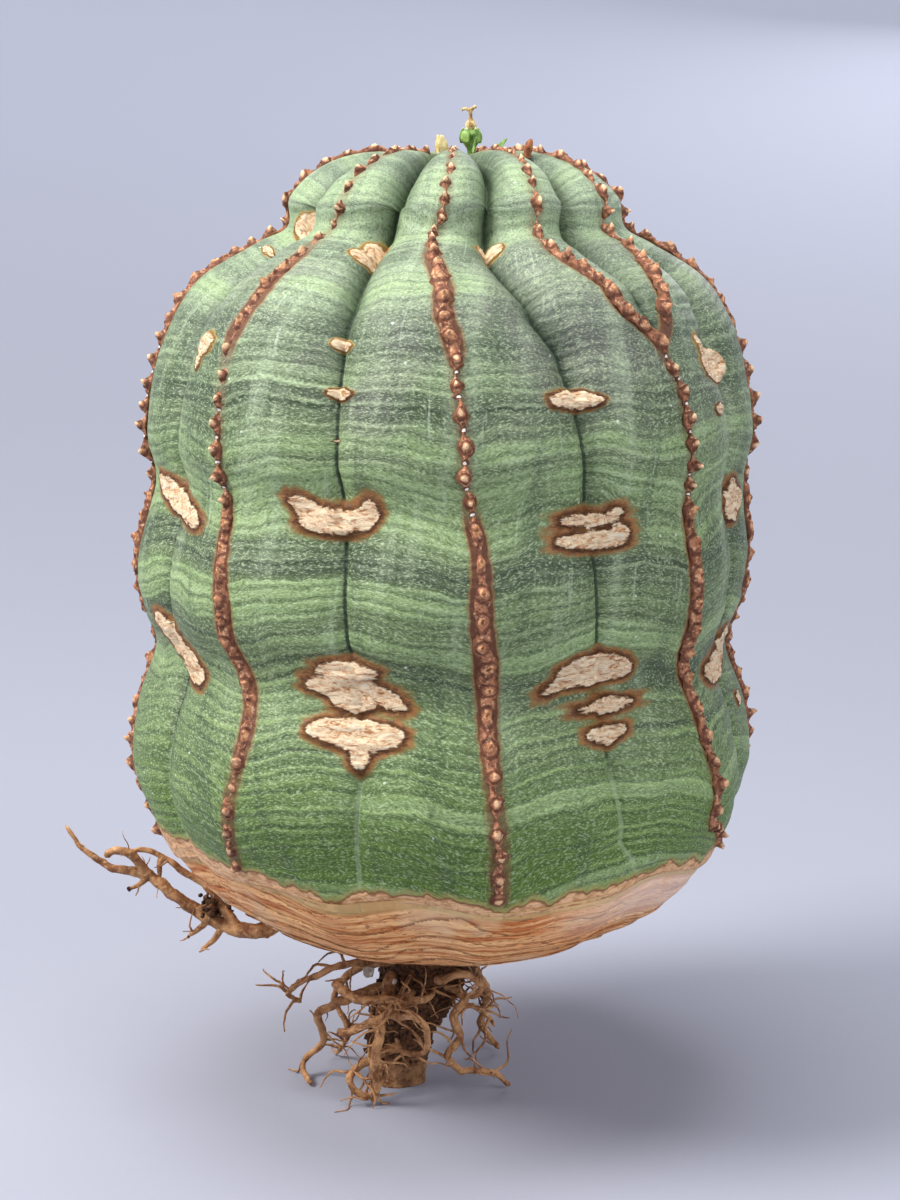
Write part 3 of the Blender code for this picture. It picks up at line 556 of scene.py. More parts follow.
def skin_material():
    shader = Shader("plant_skin", 0.3)
    along, around, share, height = map(shader.attribute, ("along", "around", "share", "height"))
    crest, groove, scar = map(shader.attribute, ("crest_mm", "groove_mm", "scar"))
    place = shader.position()

    # Growth lines: thin pale rings that sag at the crests, uneven in pitch and strength
    lean = shader.total(0.8, shader.times(shader.step(height, 122.0, 96.0), 2.6))
    sag = shader.times(shader.math("POWER", shader.math("SUBTRACT", 1.0, share), 1.5), lean)
    slow = shader.centred(shader.noise(place, 36.0, 2.0), 6.5)
    quick = shader.centred(shader.noise(place, 150.0, 3.0, 0.6), 2.4)
    line = shader.total(along, sag, slow, quick)
    wave = shader.math("SINE", shader.times(line, 3.55))
    second = shader.math("SINE", shader.times(line, 5.9))
    rings = shader.total(wave, shader.times(second, 0.45))
    strong = shader.noise(shader.vector(around, line, 0.0, 0.05), 0.42, 3.0, 0.6)
    patchy = shader.noise(place, 85.0, 3.0, 0.6)
    broad = shader.noise(shader.vector(around, line, 7.0, 0.03), 0.17, 2.0, 0.5)
    pale = shader.paint((152, 178, 106), ((176, 196, 150), 1.0, (height, 56.0, 100.0)))
    # Below about 46 to 72 mm the green is darker and more saturated: partly the skin's own greener tone low
    # down, partly painted shade where the lower stem turns to face down
    base = shader.paint(
        (86, 114, 40),
        ((102, 120, 78), 1.0, (height, 46.0, 72.0)),
        ((126, 141, 110), 1.0, (height, 96.0, 130.0)),
        ((56, 68, 50), 0.85, (broad, 0.46, 0.62), (height, 52.0, 70.0)),
        ((142, 166, 110), 0.66, (broad, 0.48, 0.37)),
        ((48, 66, 38), 0.46, (rings, -0.15, -1.1), (strong, 0.30, 0.55)),
        (pale, 0.54, (rings, -0.05, 0.85), (strong, 0.40, 0.66), (patchy, 0.36, 0.62)),
    )

    # Purplish grey blotches on the shoulder, and waxy bloom in soft streaks that run up the ribs
    blotch = shader.noise(place, 42.0, 4.0, 0.6)
    wide = shader.noise(shader.vector(around, along, 0.0, 1.0, 0.10), 0.22, 3.0, 0.55)
    thin = shader.noise(shader.vector(around, along, 9.0, 1.0, 0.07), 1.1, 2.0, 0.5)
    base = shader.paint(
        base,
        ((98, 94, 92), 0.62, (blotch, 0.47, 0.60), (height, 98.0, 120.0), (height, 137.0, 126.0)),
        ((172, 188, 156), 0.30, (wide, 0.50, 0.70), (height, 52.0, 80.0)),
        ((54, 72, 46), 0.46, (wide, 0.48, 0.34)),
        ((190, 208, 180), 0.40, (thin, 0.62, 0.78), (height, 66.0, 92.0)),
        ((170, 186, 164), 0.26, (height, 112.0, 140.0)),
    )

    # Granular skin in short level dashes, with a few white dots
    grain = shader.noise(shader.vector(around, line, 3.0, 1.0, 1.9), 2.1, 2.0, 0.75)
    dots = shader.cells(place, 210.0)
    base = shader.paint(
        base,
        ((186, 204, 162), 0.52, (grain, 0.50, 0.68)),
        ((36, 52, 28), 0.60, (grain, 0.47, 0.30)),
        ((206, 216, 200), 0.7, (dots, 0.055, 0.03)),
    )

    # Grooves: a thin dark line with beaded edges, painted shade in the deep folds high on the stem, and a
    # pale line near the base. Keels: a rusty rim
    edge = shader.noise(place, 520.0, 3.0)
    bead = shader.noise(shader.vector(0.0, along, 0.0), 1.5, 3.0)
    in_line = shader.math("SUBTRACT", groove, shader.total(-0.02, shader.times(bead, 0.5)))
    keel_rim = shader.total(crest, shader.centred(edge, -1.0))
    keel_zone = shader.attribute("keel_zone")
    base = shader.paint(
        base,
        ((24, 44, 24), 0.9, (in_line, 0.20, -0.08), (height, 58.0, 66.0), (height, 134.0, 120.0)),
        # Painted shade: dark green within a few millimetres of each groove high on the stem, where the folds
        # are deep
        ((40, 60, 36), 0.62, (groove, 3.6, 0.0), (height, 112.0, 126.0)),
        ((160, 178, 138), 0.45, (in_line, 0.25, 0.0), (height, 64.0, 58.0)),
        ((138, 100, 54), 0.7, (keel_rim, 1.55, 1.05), keel_zone),
        ((96, 58, 38), 1.0, (keel_rim, 1.10, 0.85), keel_zone),
    )

    # Scars: a dead, streaky rim, golden high on the stem, round a cream patch of torn fibres
    fibre = shader.noise(shader.vector(around, along, 0.0, 0.40), 1.5, 6.0, 0.7, 1.2)
    tear = shader.noise(shader.vector(around, along, 5.0, 0.22), 1.7, 4.0, 0.6)
    ragged = shader.total(scar, shader.centred(edge, 0.9), shader.centred(fibre, -1.0))
    rim = shader.times(ragged, shader.between(shader.step(height, 100.0, 112.0), 1.0, 1.7))
    golden = shader.step(height, 113.0, 119.0)
    halo = shader.paint((128, 98, 46), ((176, 144, 74), 1.0, golden))
    dead = shader.paint(
        (88, 50, 24), ((146, 98, 52), 1.0, (fibre, 0.40, 0.60)), ((196, 156, 82), 0.6, golden),
    )
    cream = shader.paint(
        (214, 156, 108),
        ((252, 228, 190), 1.0, (fibre, 0.36, 0.56)),
        ((128, 76, 42), 0.85, (fibre, 0.41, 0.33)),
        ((255, 246, 226), 0.8, (fibre, 0.58, 0.68)),
        ((150, 92, 52), 0.75, (tear, 0.42, 0.32)),
    )

    # Green gives way to cork with a thin yellowish edge
    tongues = shader.centred(shader.noise(shader.vector(around, 0.0, 0.0), 0.16, 3.0, 0.6), 7.0)
    foot = shader.total(shader.attribute("foot_mm"), shader.centred(edge, -1.6), tongues)
    bark = shader.paint((178, 124, 78), ((224, 180, 134), 1.0, (fibre, 0.38, 0.58)))
    base = shader.paint(
        base,
        (halo, 0.80, (rim, 1.25, 0.75)),
        (dead, 1.0, (rim, 0.88, 0.58)),
        (cream, 1.0, (ragged, 0.16, -0.06)),
        ((160, 150, 84), 0.8, (foot, 3.2, 1.9)),
        ((130, 88, 52), 1.0, (foot, 2.1, 1.7)),
        (bark, 1.0, (foot, 1.7, 1.3)),
    )

    inside = shader.step(ragged, 0.5, 0.0)
    waxy = shader.between(shader.step(wide, 0.35, 0.65), 0.42, 0.56)
    roughness = shader.total(waxy, shader.times(inside, 0.30))
    wrinkle = shader.total(shader.times(rings, 0.35), grain)
    return shader.finish(base, roughness, (wrinkle, 0.13), (shader.times(fibre, inside), 0.8))


def keel_material():
    shader = Shader("keel_crust", 0.3)
    side, old, from_peak, tip, dot = map(shader.attribute, ("side", "old", "from_peak", "tip", "dot"))
    place = shader.position()
    speckle = shader.noise(place, 1000.0, 4.0, 0.65)
    pale = shader.noise(place, 1900.0, 3.0)
    edge = shader.total(side, shader.centred(speckle, 0.5))
    top = shader.total(tip, shader.centred(speckle, 0.5))

    # Each tubercle ends in a ringed scar, wider and more hollow where it is old
    wider = shader.math("SUBTRACT", 1.0, shader.times(old, 0.42))
    ring = shader.total(shader.times(from_peak, wider), shader.centred(speckle, 0.35))
    worn = shader.paint((150, 96, 64), ((212, 158, 114), 1.0, (pale, 0.40, 0.60)))
    tip_tone = shader.paint((232, 190, 146), (worn, 1.0, old))
    centre = shader.paint((240, 214, 178), ((112, 66, 42), 1.0, old))
    base = shader.paint(
        (98, 54, 38),
        ((172, 116, 84), 1.0, (speckle, 0.36, 0.62)),
        ((222, 180, 142), 0.65, (pale, 0.52, 0.66)),
        ((104, 62, 36), 0.8, (edge, 0.60, 0.85)),
        ((78, 40, 26), 0.75, (ring, 0.85, 0.70), (ring, 0.45, 0.58)),
        (tip_tone, 1.0, (ring, 0.40, 0.26)),
        (centre, 1.0, (ring, 0.20, 0.10)),
        # Painted highlight: paler orange on the top of each tubercle
        ((190, 128, 84), 0.4, (top, 0.85, 1.1)),
        ((92, 58, 38), 1.0, (dot, 0.30, 0.45)),
        ((244, 236, 224), 1.0, (dot, 0.66, 0.80)),
    )
    return shader.finish(base, shader.between(speckle, 0.62, 0.86), (speckle, 0.30), (pale, 0.12))


def cork_material():
    shader = Shader("cork_layers", 0.3)
    depth, layer, turn = map(shader.attribute, ("depth", "layer", "turn"))
    place = shader.position()
    warp = shader.noise(place, 60.0, 4.0)
    patch = shader.noise(place, 75.0, 3.0)
    wavy = shader.total(depth, shader.centred(warp, 6.0))
    rings = shader.noise(shader.vector(turn, wavy, 0.0, 0.06), 0.85, 4.0, 0.6)
    fine = shader.noise(shader.vector(turn, wavy, 4.0, 0.25), 2.6, 4.0, 0.65)
    rim = shader.total(depth, shader.centred(warp, 2.0))
    to_right = shader.coordinate(place, "X")
    base = shader.paint(
        (196, 110, 48),
        ((254, 196, 132), 1.0, (rings, 0.36, 0.62)),
        ((132, 72, 30), 0.8, (fine, 0.47, 0.35)),
        ((240, 204, 158), 0.7, (patch, 0.54, 0.70)),
        ((104, 62, 34), 0.7, (layer, 0.80, 0.97)),
        ((244, 216, 198), 0.7, (to_right, 0.018, 0.042), (patch, 0.34, 0.50), (depth, 11.0, 6.0)),
        ((196, 170, 112), 0.6, (rim, 1.3, 0.3)),
        ((92, 62, 40), 0.6, (depth, 24.0, 34.0)),
    )
    roughness = shader.between(shader.step(fine, 0.35, 0.65), 0.74, 0.52)
    return shader.finish(base, roughness, (rings, 0.5), (fine, 0.25))


def root_material():
    shader = Shader("root_bark_fine", 0.25)
    place = shader.position()
    bark = shader.noise(place, 420.0, 5.0, 0.65)
    fine = shader.noise(place, 1500.0, 3.0)
    dirt = shader.noise(place, 160.0, 4.0, 0.6)
    soiled = shader.total(shader.attribute("soil"), shader.centred(dirt, 1.1))
    earth = shader.paint((46, 30, 20), ((104, 70, 46), 1.0, (fine, 0.36, 0.62)))
    base = shader.paint(
        (118, 74, 44),
        ((190, 142, 96), 1.0, (bark, 0.34, 0.64)),
        ((222, 182, 138), 0.5, (fine, 0.54, 0.70)),
        (earth, 1.0, (soiled, 0.30, 0.62)),
    )
    roughness = shader.between(shader.step(soiled, 0.30, 0.62), 0.70, 0.96)
    return shader.finish(base, roughness, (bark, 0.35), (fine, 0.15))


def plain_tissue(name, dark, light, rim, scale, gloss, depth_mm):
    """Young or dry tissue: two tones in fine, uneven flecks."""
    shader = Shader(name, 0.3)
    fleck = shader.noise(shader.position(), scale, 4.0, 0.6)
    edge = shader.attribute("edge")
    base = shader.paint(dark, (light, 1.0, (fleck, 0.36, 0.62)), (rim, 0.8, (edge, 0.6, 1.0)))
    roughness = shader.between(shader.step(fleck, 0.3, 0.7), 1.0 - gloss, 0.9 - gloss)
    return shader.finish(base, roughness, (fleck, depth_mm))


def grit_material():
    shader = Shader("white_grit", 0.2)
    fleck = shader.noise(shader.position(), 1200.0, 3.0)
    base = shader.paint((170, 158, 140), ((226, 220, 208), 1.0, (fleck, 0.4, 0.6)))
    return shader.finish(base, shader.between(fleck, 0.8, 0.98), (fleck, 0.3))


def scars():
    """Every scar: those of the photographed side, and seeded ones on the far grooves."""
    rng = random.Random(SEED)
    found = list(FRONT_SCARS)
    names = list(RIB_CRESTS)
    for name in BACK_GROOVES:
        first = RIB_CRESTS[name]
        second = RIB_CRESTS[names[(names.index(name) + 1) % len(names)]]
        for height, (half_width, half_height) in zip(BACK_SCAR_HEIGHTS, BACK_SCAR_SIZES):
            place = height + rng.uniform(-1.5, 1.5)
            groove = (read_table(first, place) + read_table(second, place)) / 2
            size = rng.uniform(0.7, 1.1)
            middle = (0.0, 0.0, half_width * size, half_height * size, rng.uniform(-0.12, 0.12))
            offset = rng.uniform(-0.5, 0.5) * half_width
            lump = (offset, 0.4 * half_height, 0.55 * half_width, 0.75 * half_height, rng.uniform(-0.3, 0.3))
            found.append((place, groove, (middle, lump)))
    return found


def centres(heights):
    return np.interp(heights, *zip(*((h, centre_x(h)) for h in range(42, 146))))


def scar_field(azimuths, heights, alongs, radii, along_at):
    """Millimetres from the nearest scar's edge, below zero inside, and how far it bridges its groove."""
    field = np.full(len(azimuths), 6.0)
    bridge = np.zeros(len(azimuths))
    for height, azimuth, ellipses in scars():
        away = (azimuths - azimuth + 180) % 360 - 180
        near = (np.abs(heights - height) < 12) & (np.abs(away) < 40)
        right = np.radians(away[near]) * radii[near]
        up = alongs[near] - along_at(height)
        joined = np.full(len(up), 6.0)
        for shift_x, shift_z, half_width, half_height, tilt in ellipses:
            x = (right - shift_x) * math.cos(tilt) + (up - shift_z) * math.sin(tilt)
            z = (up - shift_z) * math.cos(tilt) - (right - shift_x) * math.sin(tilt)
            reach = np.hypot(x / half_width, z / half_height)
            slope = np.hypot(x / half_width**2, z / half_height**2) / np.maximum(reach, 1e-6)
            distance = (reach - 1) / np.maximum(slope, 1 / half_width)
            # The dead rim is wider at both ends than above and below
            ends = (x / half_width / np.maximum(reach, 1e-6)) ** 2
            distance = np.where(distance > 0, distance * (1 - 0.35 * ends), distance)
            mixed = np.clip(0.5 + 0.5 * (distance - joined) / SCAR_BLEND, 0, 1)
            joined = distance + (joined - distance) * mixed - SCAR_BLEND * mixed * (1 - mixed)
        widest = max(ellipse[2] for ellipse in ellipses)
        joined = np.where(joined > 0, joined * max(1.0, 3.0 / widest), joined)
        bridge[near] = np.where(joined < field[near], min(1.0, widest / 5.0) ** 2, bridge[near])
        field[near] = np.minimum(field[near], joined)
    return field, bridge


def make_skin(material):
    rows, length = outline_rows(CREST_OUTLINE, SKIN_ROWS)
    names = ("along", "around", "share", "height", "crest_mm", "groove_mm", "scar", "foot_mm", "keel_zone")
    layers = {name: [] for name in names}
    fills = []
    levels = np.maximum.accumulate(rows[:, 1])
    lengths = np.linspace(0.0, length, SKIN_ROWS)

    def along_at(height):
        return np.interp(height, levels, lengths)

    points, normals = [], []
    for index, (radius, level, slope_out, slope_up) in enumerate(rows):
        azimuths = column_azimuths(level, SKIN_COLUMNS_PER_RIB)
        share, width, from_crest = groove_share(azimuths, level)
        turn = np.radians(azimuths)
        flat = np.zeros(len(azimuths))
        along = length * index / (SKIN_ROWS - 1) + flat
        points.append(skin_point(azimuths, radius, level, slope_out, slope_up))
        outward = [np.sin(turn) * slope_out, -np.cos(turn) * slope_out, flat + slope_up]
        normals.append(np.stack(outward, axis=1))
        # The lengthwise seam of the patterns lies under the keel at the back
        seam = read_table(RIB_CRESTS["back"], level)
        layers["around"].append(np.radians((azimuths - seam) % 360) * SKIN_PATTERN_RADIUS)
        layers["along"].append(along)
        layers["share"].append(share)
        layers["height"].append(level + flat)
        keel_half = read_table(KEEL_WIDTHS, level) / 2
        layers["crest_mm"].append(np.abs(np.radians(from_crest)) * radius - keel_half + 1.0)
        layers["groove_mm"].append((1 - share) * np.radians(width) / 2 * radius)
        scar, bridge = scar_field(azimuths, level + flat, along, radius + flat, along_at)
        layers["scar"].append(scar)
        sunk = groove_depth(width, radius, level) * (face_fall(share) - face_fall(BRIDGED_SHARE))
        fills.append(np.maximum(sunk, 0.0) * bridge * smooth(scar, 1.3, -0.5))
        left = np.clip(np.cos(turn - math.radians(CORK_CLIMB_AZIMUTH)), 0, 1) ** 3
        layers["foot_mm"].append(along - CORK_CLIMB * left)
        layers["keel_zone"].append((1 - 0.8 * stand_apart(level)) * smooth(along, 1.0, 2.0))
    columns = len(points[0])
    points, normals = np.vstack(points), np.vstack(normals)
    layers = {name: np.concatenate(values) for name, values in layers.items()}
    height, groove, scar = layers["height"], layers["groove_mm"], layers["scar"]

    # Relief: sharp creases, scars that stand up roughly, soft dents and transverse wrinkles
    strands = np.stack([layers["around"] * 0.4, layers["along"], 0 * groove], axis=1)
    rough = layered_noise(points, 1.6, SEED + 60) + 0.6 * layered_noise(strands, 0.9, SEED + 65, 2)
    relief = -0.40 * np.exp(-((groove / 0.6) ** 2)) * smooth(height, 44.0, 56.0)
    relief += 0.25 * np.exp(-((groove / 2.0) ** 2)) * smooth(height, 60.0, 80.0)
    relief += smooth(scar, 0.7, -0.5) * (0.20 + 0.30 * rough)
    relief -= 0.22 * np.exp(-(((scar - 0.9) / 0.5) ** 2))
    relief += 0.40 * layered_noise(points, 15.0, SEED + 70, 2)
    band_place = np.stack([layers["around"] * 0.10, layers["along"], 0 * groove], axis=1)
    relief += 0.13 * layered_noise(band_place, 2.6, SEED + 80, 2) * smooth(layers["crest_mm"], 0.8, 2.5)
    relief += np.concatenate(fills)
    relief *= smooth(np.hypot(points[:, 0] - centres(height), points[:, 1]), 1.5, 8.0)
    points = points + normals * relief[:, None]

    faces = ring_faces(SKIN_ROWS, columns)
    top = [centre_x(APEX_HEIGHT), 0.0, APEX_HEIGHT]
    foot = [centre_x(STEM_FOOT_HEIGHT), 0.0, STEM_FOOT_HEIGHT]
    points = np.vstack([points, top, foot])
    faces += fan_faces((SKIN_ROWS - 1) * columns, columns, len(points) - 2)
    faces += fan_faces(0, columns, len(points) - 1)
    skin = new_piece("stem_skin", points, faces, material, "green_skin", "stem")
    for name, values in layers.items():
        set_attribute(skin, name, np.append(values, [values[-1], values[0]]))


def stand_apart(height):
    """How far the tubercles at a height stand apart from each other."""
    return read_table(KEEL_APART, height)


def crest_path(table, lowest):
    """Fine points along a rib's crest, with the azimuth at each."""
    points, azimuths = [], []
    for radius, level, slope_out, slope_up in outline_rows(CREST_OUTLINE, SKIN_ROWS)[0]:
        if level > lowest and radius > KEEL_TOP_RADIUS:
            azimuth = read_table(table, level)
            points.append(skin_point(np.array([azimuth], float), radius, level, slope_out, slope_up)[0])
            azimuths.append(azimuth)
    return np.array(points), np.array(azimuths)


def make_keel(name, table, lowest, rng, material):
    """A crusty strip over one crest that rises to a pointed tubercle at every pitch."""
    path, azimuths = crest_path(table, lowest)
    joined = np.column_stack([path, azimuths])
    length = np.linalg.norm(np.diff(path, axis=0), axis=1).sum()
    tubercles = round(length / TUBERCLE_PITCH)
    count = tubercles * KEEL_STEPS_PER_TUBERCLE + 1
    spots = spaced(joined, count)[0]
    # The tubercles don't stand evenly: each pitch is a little longer or shorter than the rest
    pitches = np.cumsum([0.0] + [rng.uniform(0.72, 1.28) for _ in range(tubercles)])
    numbers = np.interp(np.linspace(0, tubercles, count), np.arange(tubercles + 1), pitches)
    wanted = numbers / pitches[-1] * (count - 1)
    spots = np.stack([np.interp(wanted, np.arange(count), spots[:, k]) for k in range(4)], axis=1)
    path = spots[:, :3]
    along = np.gradient(path, axis=0)
    along /= np.linalg.norm(along, axis=1)[:, None]
    turn = np.radians(spots[:, 3])
    side = np.stack([np.cos(turn), np.sin(turn), 0 * turn], axis=1)
    side -= along * (side * along).sum(1)[:, None]
    side /= np.linalg.norm(side, axis=1)[:, None]
    outward = np.cross(side, along)
    # Young tubercles near the apex and the shoulder stand apart, older ones grow together
    height = path[:, 2]
    apart = np.array([stand_apart(level) for level in height])
    small = (1 - 0.45 * smooth(height, 133.0, 145.0)) * (0.85 + 0.15 * apart)
    sizes = np.array([rng.uniform(0.62, 1.18) for _ in range(tubercles + 1)])
    sways = np.array([rng.uniform(-0.28, 0.28) for _ in range(tubercles + 1)])
    gaps = np.array([1.0 if rng.random() > 0.06 else 0.35 for _ in range(tubercles + 1)])
    dotted = np.array([1.0 if rng.random() < 0.8 else 0.0 for _ in range(tubercles + 1)])
    vertices = []
    layers = {name: [] for name in ("tip", "side", "from_peak", "dot", "old")}
    angles = np.linspace(-1.0, 1.0, KEEL_PROFILE_POINTS)
    for index in range(count):
        number, phase = divmod(index, KEEL_STEPS_PER_TUBERCLE)
        phase = phase / KEEL_STEPS_PER_TUBERCLE
        peak = math.exp(-((abs(phase - 0.5) / 0.17) ** 1.7))
        body = math.exp(-((abs(phase - 0.5) / 0.34) ** 3.0))
        between = 1 - apart[index] * (1 - body) * 0.85
        width = read_table(KEEL_WIDTHS, height[index]) / 2 * between * (0.86 + 0.14 * body)
        width *= (0.85 + 0.15 * gaps[number]) * (0.60 + 0.42 * sizes[number])
        gap_dot = dotted[number] * float(DOT_HEIGHTS[0] < height[index] < DOT_HEIGHTS[1])
        width = max(width, 0.6 * gap_dot * math.exp(-((phase * TUBERCLE_PITCH / 0.6) ** 4)))
        low = KEEL_HEIGHT * between * gaps[number]
        rise = low + (TUBERCLE_HEIGHT * sizes[number] * small[index] - low) * peak
        ends = min(1.0, index / KEEL_END_STEPS, (count - 1 - index) / KEEL_END_STEPS)
        rise *= ends
        width *= 0.45 + 0.55 * ends
        spot = path[index] + side[index] * sways[number] * body
        for value in angles:
            # A flat skirt, steep sides and a narrow top
            lift = max(0.0, 1 - abs(value)) ** 0.75
            sharp = math.exp(-((abs(value) / 0.46) ** 2.2))
            height_here = -KEEL_SUNK + (low * lift + (rise - low) * sharp) + KEEL_SUNK * lift * 1.2
            lean = along[index] * 0.30 * peak * sharp
            vertices.append(spot + side[index] * width * value + outward[index] * height_here + lean)
            from_peak = math.hypot((phase - 0.5) * TUBERCLE_PITCH, value * width)
            from_gap = math.hypot(phase * TUBERCLE_PITCH, value * width)
            dot = gap_dot * math.exp(-((from_gap / 0.55) ** 2))
            here = (peak * sharp * sizes[number], abs(value), from_peak, dot, 1 - apart[index])
            for values, entry in zip(layers.values(), here):
                values.append(entry)
        vertices.append(spot - outward[index] * (KEEL_SUNK + KEEL_SEAM_DEPTH))
        for values, entry in zip(layers.values(), (0.0, 1.0, TUBERCLE_PITCH, 0.0, 0.0)):
            values.append(entry)
    vertices = np.array(vertices)
    ring = KEEL_PROFILE_POINTS + 1
    bumps = layered_noise(vertices, 0.8, SEED + 90, 3) * 0.28
    loose = np.tile(np.append(np.ones(KEEL_PROFILE_POINTS), 0.0), count)
    vertices = vertices + np.repeat(outward, ring, axis=0) * (bumps * loose)[:, None]
    ragged = layered_noise(vertices, 1.2, SEED + 95, 2) * 0.30
    vertices = vertices + np.repeat(side, ring, axis=0) * (ragged * loose)[:, None]
    piece = new_piece(name + "_crust", vertices, closed_faces(count, ring), material, "brown_keel", name)
    for layer, values in layers.items():
        set_attribute(piece, layer, values)


def make_keels(material):
    rng = random.Random(SEED + 1)
    for name, table in RIB_CRESTS.items():
        make_keel("keel_" + name, table, STEM_FOOT_HEIGHT + KEEL_FOOT_INSET, rng, material)
    make_keel("keel_fork", FORK_CREST, FORK_HEIGHT + FORK_KEEL_CLEARANCE, rng, material)


def make_cork(material):
    """Papery cork in shallow, wavy layers below the green skin."""
    rows, length = outline_rows(CORK_OUTLINE, CORK_ROWS)
    stem_rim = outline_rows(CREST_OUTLINE, SKIN_ROWS)[0][0]
    azimuths = np.linspace(180, 540, CORK_COLUMNS, endpoint=False)
    turn = np.radians(azimuths)
    share = groove_share(azimuths, STEM_FOOT_HEIGHT)[0]
    rim = skin_point(azimuths, *stem_rim)
    vertices, depth, layers, turns = [], [], [], []
    for index, (radius, level, slope_out, slope_up) in enumerate(rows):
        fade = index / (CORK_ROWS - 1)
        uneven = 1.5 * np.sin(4 * turn) + np.cos(7 * turn)
        flat = np.stack([radius * np.sin(turn), -radius * np.cos(turn), 0 * turn + level], axis=1)
        drift = layered_noise(flat, 11.0, SEED + 110, 3)
        phase = CORK_LAYERS * fade * 1.6 + uneven / (2 * np.pi) + 0.55 * drift
        saw = phase % 1.0
        step = smooth(saw, 0.0, 0.82) * smooth(saw, 1.0, 0.88)
        inset = CORK_LAYER_DEPTH * step * math.sin(math.pi * fade) ** 0.5
        groove = GROOVE_DEPTH[0][1] * face_fall(share) * (1 - fade)
        pits = 0.25 * layered_noise(flat, 3.0, SEED + 120, 2) * math.sin(math.pi * fade)
        reach = radius - groove - inset + pits
        rise = level + rim_wave(azimuths) * (1 - fade) ** 2
        across = centre_x(STEM_FOOT_HEIGHT) + reach * np.sin(turn)
        row = np.stack([across, -reach * np.cos(turn), rise], axis=1)
        if index == 0:
            row = rim + np.stack([0.25 * np.sin(turn), -0.25 * np.cos(turn), 0 * turn + 0.7], axis=1)
        vertices.append(row)
        depth.append(np.full(CORK_COLUMNS, length * fade))
        layers.append(saw)
        turns.append(np.radians((azimuths - 180) % 360) * SKIN_PATTERN_RADIUS)
    vertices = np.vstack(vertices + [[[centre_x(STEM_FOOT_HEIGHT), 0.0, CORK_FLAT_HEIGHT]]])
    faces = ring_faces(CORK_ROWS, CORK_COLUMNS)
    faces += fan_faces((CORK_ROWS - 1) * CORK_COLUMNS, CORK_COLUMNS, len(vertices) - 1)
    cork = new_piece("cork_layers", vertices, faces, material, "tan_cork", "cork_base")
    for name, values, last in (("depth", depth, length), ("layer", layers, 0.0), ("turn", turns, 0.0)):
        set_attribute(cork, name, np.append(np.concatenate(values), last))


class MeshParts:
    """Collects closed shapes that make one piece."""

    def __init__(self):
        self.vertices = []
        self.faces = []
        self.soil = []
        self.count = 0

    def take(self, vertices, faces, soil):
        self.vertices.append(np.asarray(vertices, float))
        self.faces += [tuple(i + self.count for i in face) for face in faces]
        self.soil.append(np.broadcast_to(np.asarray(soil, float), (len(vertices),)))
        self.count += len(vertices)

    def piece(self, name, material, slot, *nodes):
        piece = new_piece(name, np.vstack(self.vertices), self.faces, material, slot, *nodes)
        set_attribute(piece, "soil", np.concatenate(self.soil))
        return piece


def tube(path, radii, sides, roughen=0.0, seed=0):
    """A closed round tube along a path, its radius uneven by the share given."""
    vertices = []
    reference = np.array([0.3, 0.2, 1.0])
    directions = np.gradient(path, axis=0)
    directions /= np.linalg.norm(directions, axis=1)[:, None]
    turn = 2 * np.pi * np.arange(sides) / sides
    for point, direction, radius in zip(path, directions, radii):
        across = reference - direction * reference.dot(direction)
        if np.linalg.norm(across) < 0.2:
            across = np.array([1.0, 0.0, 0.0]) - direction * direction[0]
        across /= np.linalg.norm(across)
        reference = across
        other = np.cross(direction, across)
        ring = np.outer(np.cos(turn), across) + np.outer(np.sin(turn), other)
        vertices.append(point + ring * radius)
    vertices = np.vstack(vertices)
    if roughen:
        centres = np.repeat(path, sides, axis=0)
        grow = 1 + roughen * layered_noise(vertices, 0.9, seed, 2)
        vertices = centres + (vertices - centres) * grow[:, None]
    return vertices, closed_faces(len(path), sides)


def root_route(points, rng):
    """A root's smooth route with a small sway between its ends."""
    path = smooth_path(points, 0.45)
    share = np.linspace(0.0, 1.0, len(path))
    offset = np.array([rng.uniform(0, 500) for _ in range(3)])
    sway = [layered_noise(path + offset + 91 * k, 3.2, SEED + 130 + k, 2) for k in range(3)]
    return path + np.stack(sway, axis=1) * (LATERAL_SWAY * np.sin(np.pi * share) ** 0.5)[:, None]


def add_root(parts, radius, points, rng, soil):
    path = root_route(points, rng)
    share = np.linspace(0.0, 1.0, len(path))
    radii = radius * (1 - (1 - LATERAL_TIP_SHARE) * share)
    radii[-1] *= 0.35
    path[:, 2] = np.maximum(path[:, 2], 0.35 * radii)
    vertices, faces = tube(path, radii, 10, 0.22, SEED + 140)
    vertices[:, 2] = np.maximum(vertices[:, 2], 0.02)
    parts.take(vertices, faces, soil)
    return path


def wandering(start, direction, length, rng):
    """A thin rootlet's route: a seeded walk that keeps its heading roughly."""
    point = np.array(start, float)
    heading = np.array(direction, float)
    heading /= np.linalg.norm(heading)
    path = [point.copy()]
    for _ in range(max(3, round(length / ROOTLET_STEP))):
        heading = heading + np.array([rng.uniform(-0.42, 0.42) for _ in range(3)])
        heading[2] -= ROOTLET_DROOP
        heading /= np.linalg.norm(heading)
        point = point + heading * ROOTLET_STEP
        point[2] = max(point[2], 0.15)
        path.append(point.copy())
    return np.array(path)


def add_rootlets(parts, routes, count, rng, lengths, radius):
    for _ in range(count):
        route = routes[rng.randrange(len(routes))]
        start = route[rng.randrange(len(route) // 5, len(route))]
        heading = [rng.uniform(-1, 1) for _ in range(3)]
        path = wandering(start, heading, rng.uniform(*lengths), rng)
        radii = np.linspace(1.0, 0.35, len(path)) * radius * rng.uniform(0.6, 1.2)
        parts.take(*tube(path, radii, 5), 0.1)


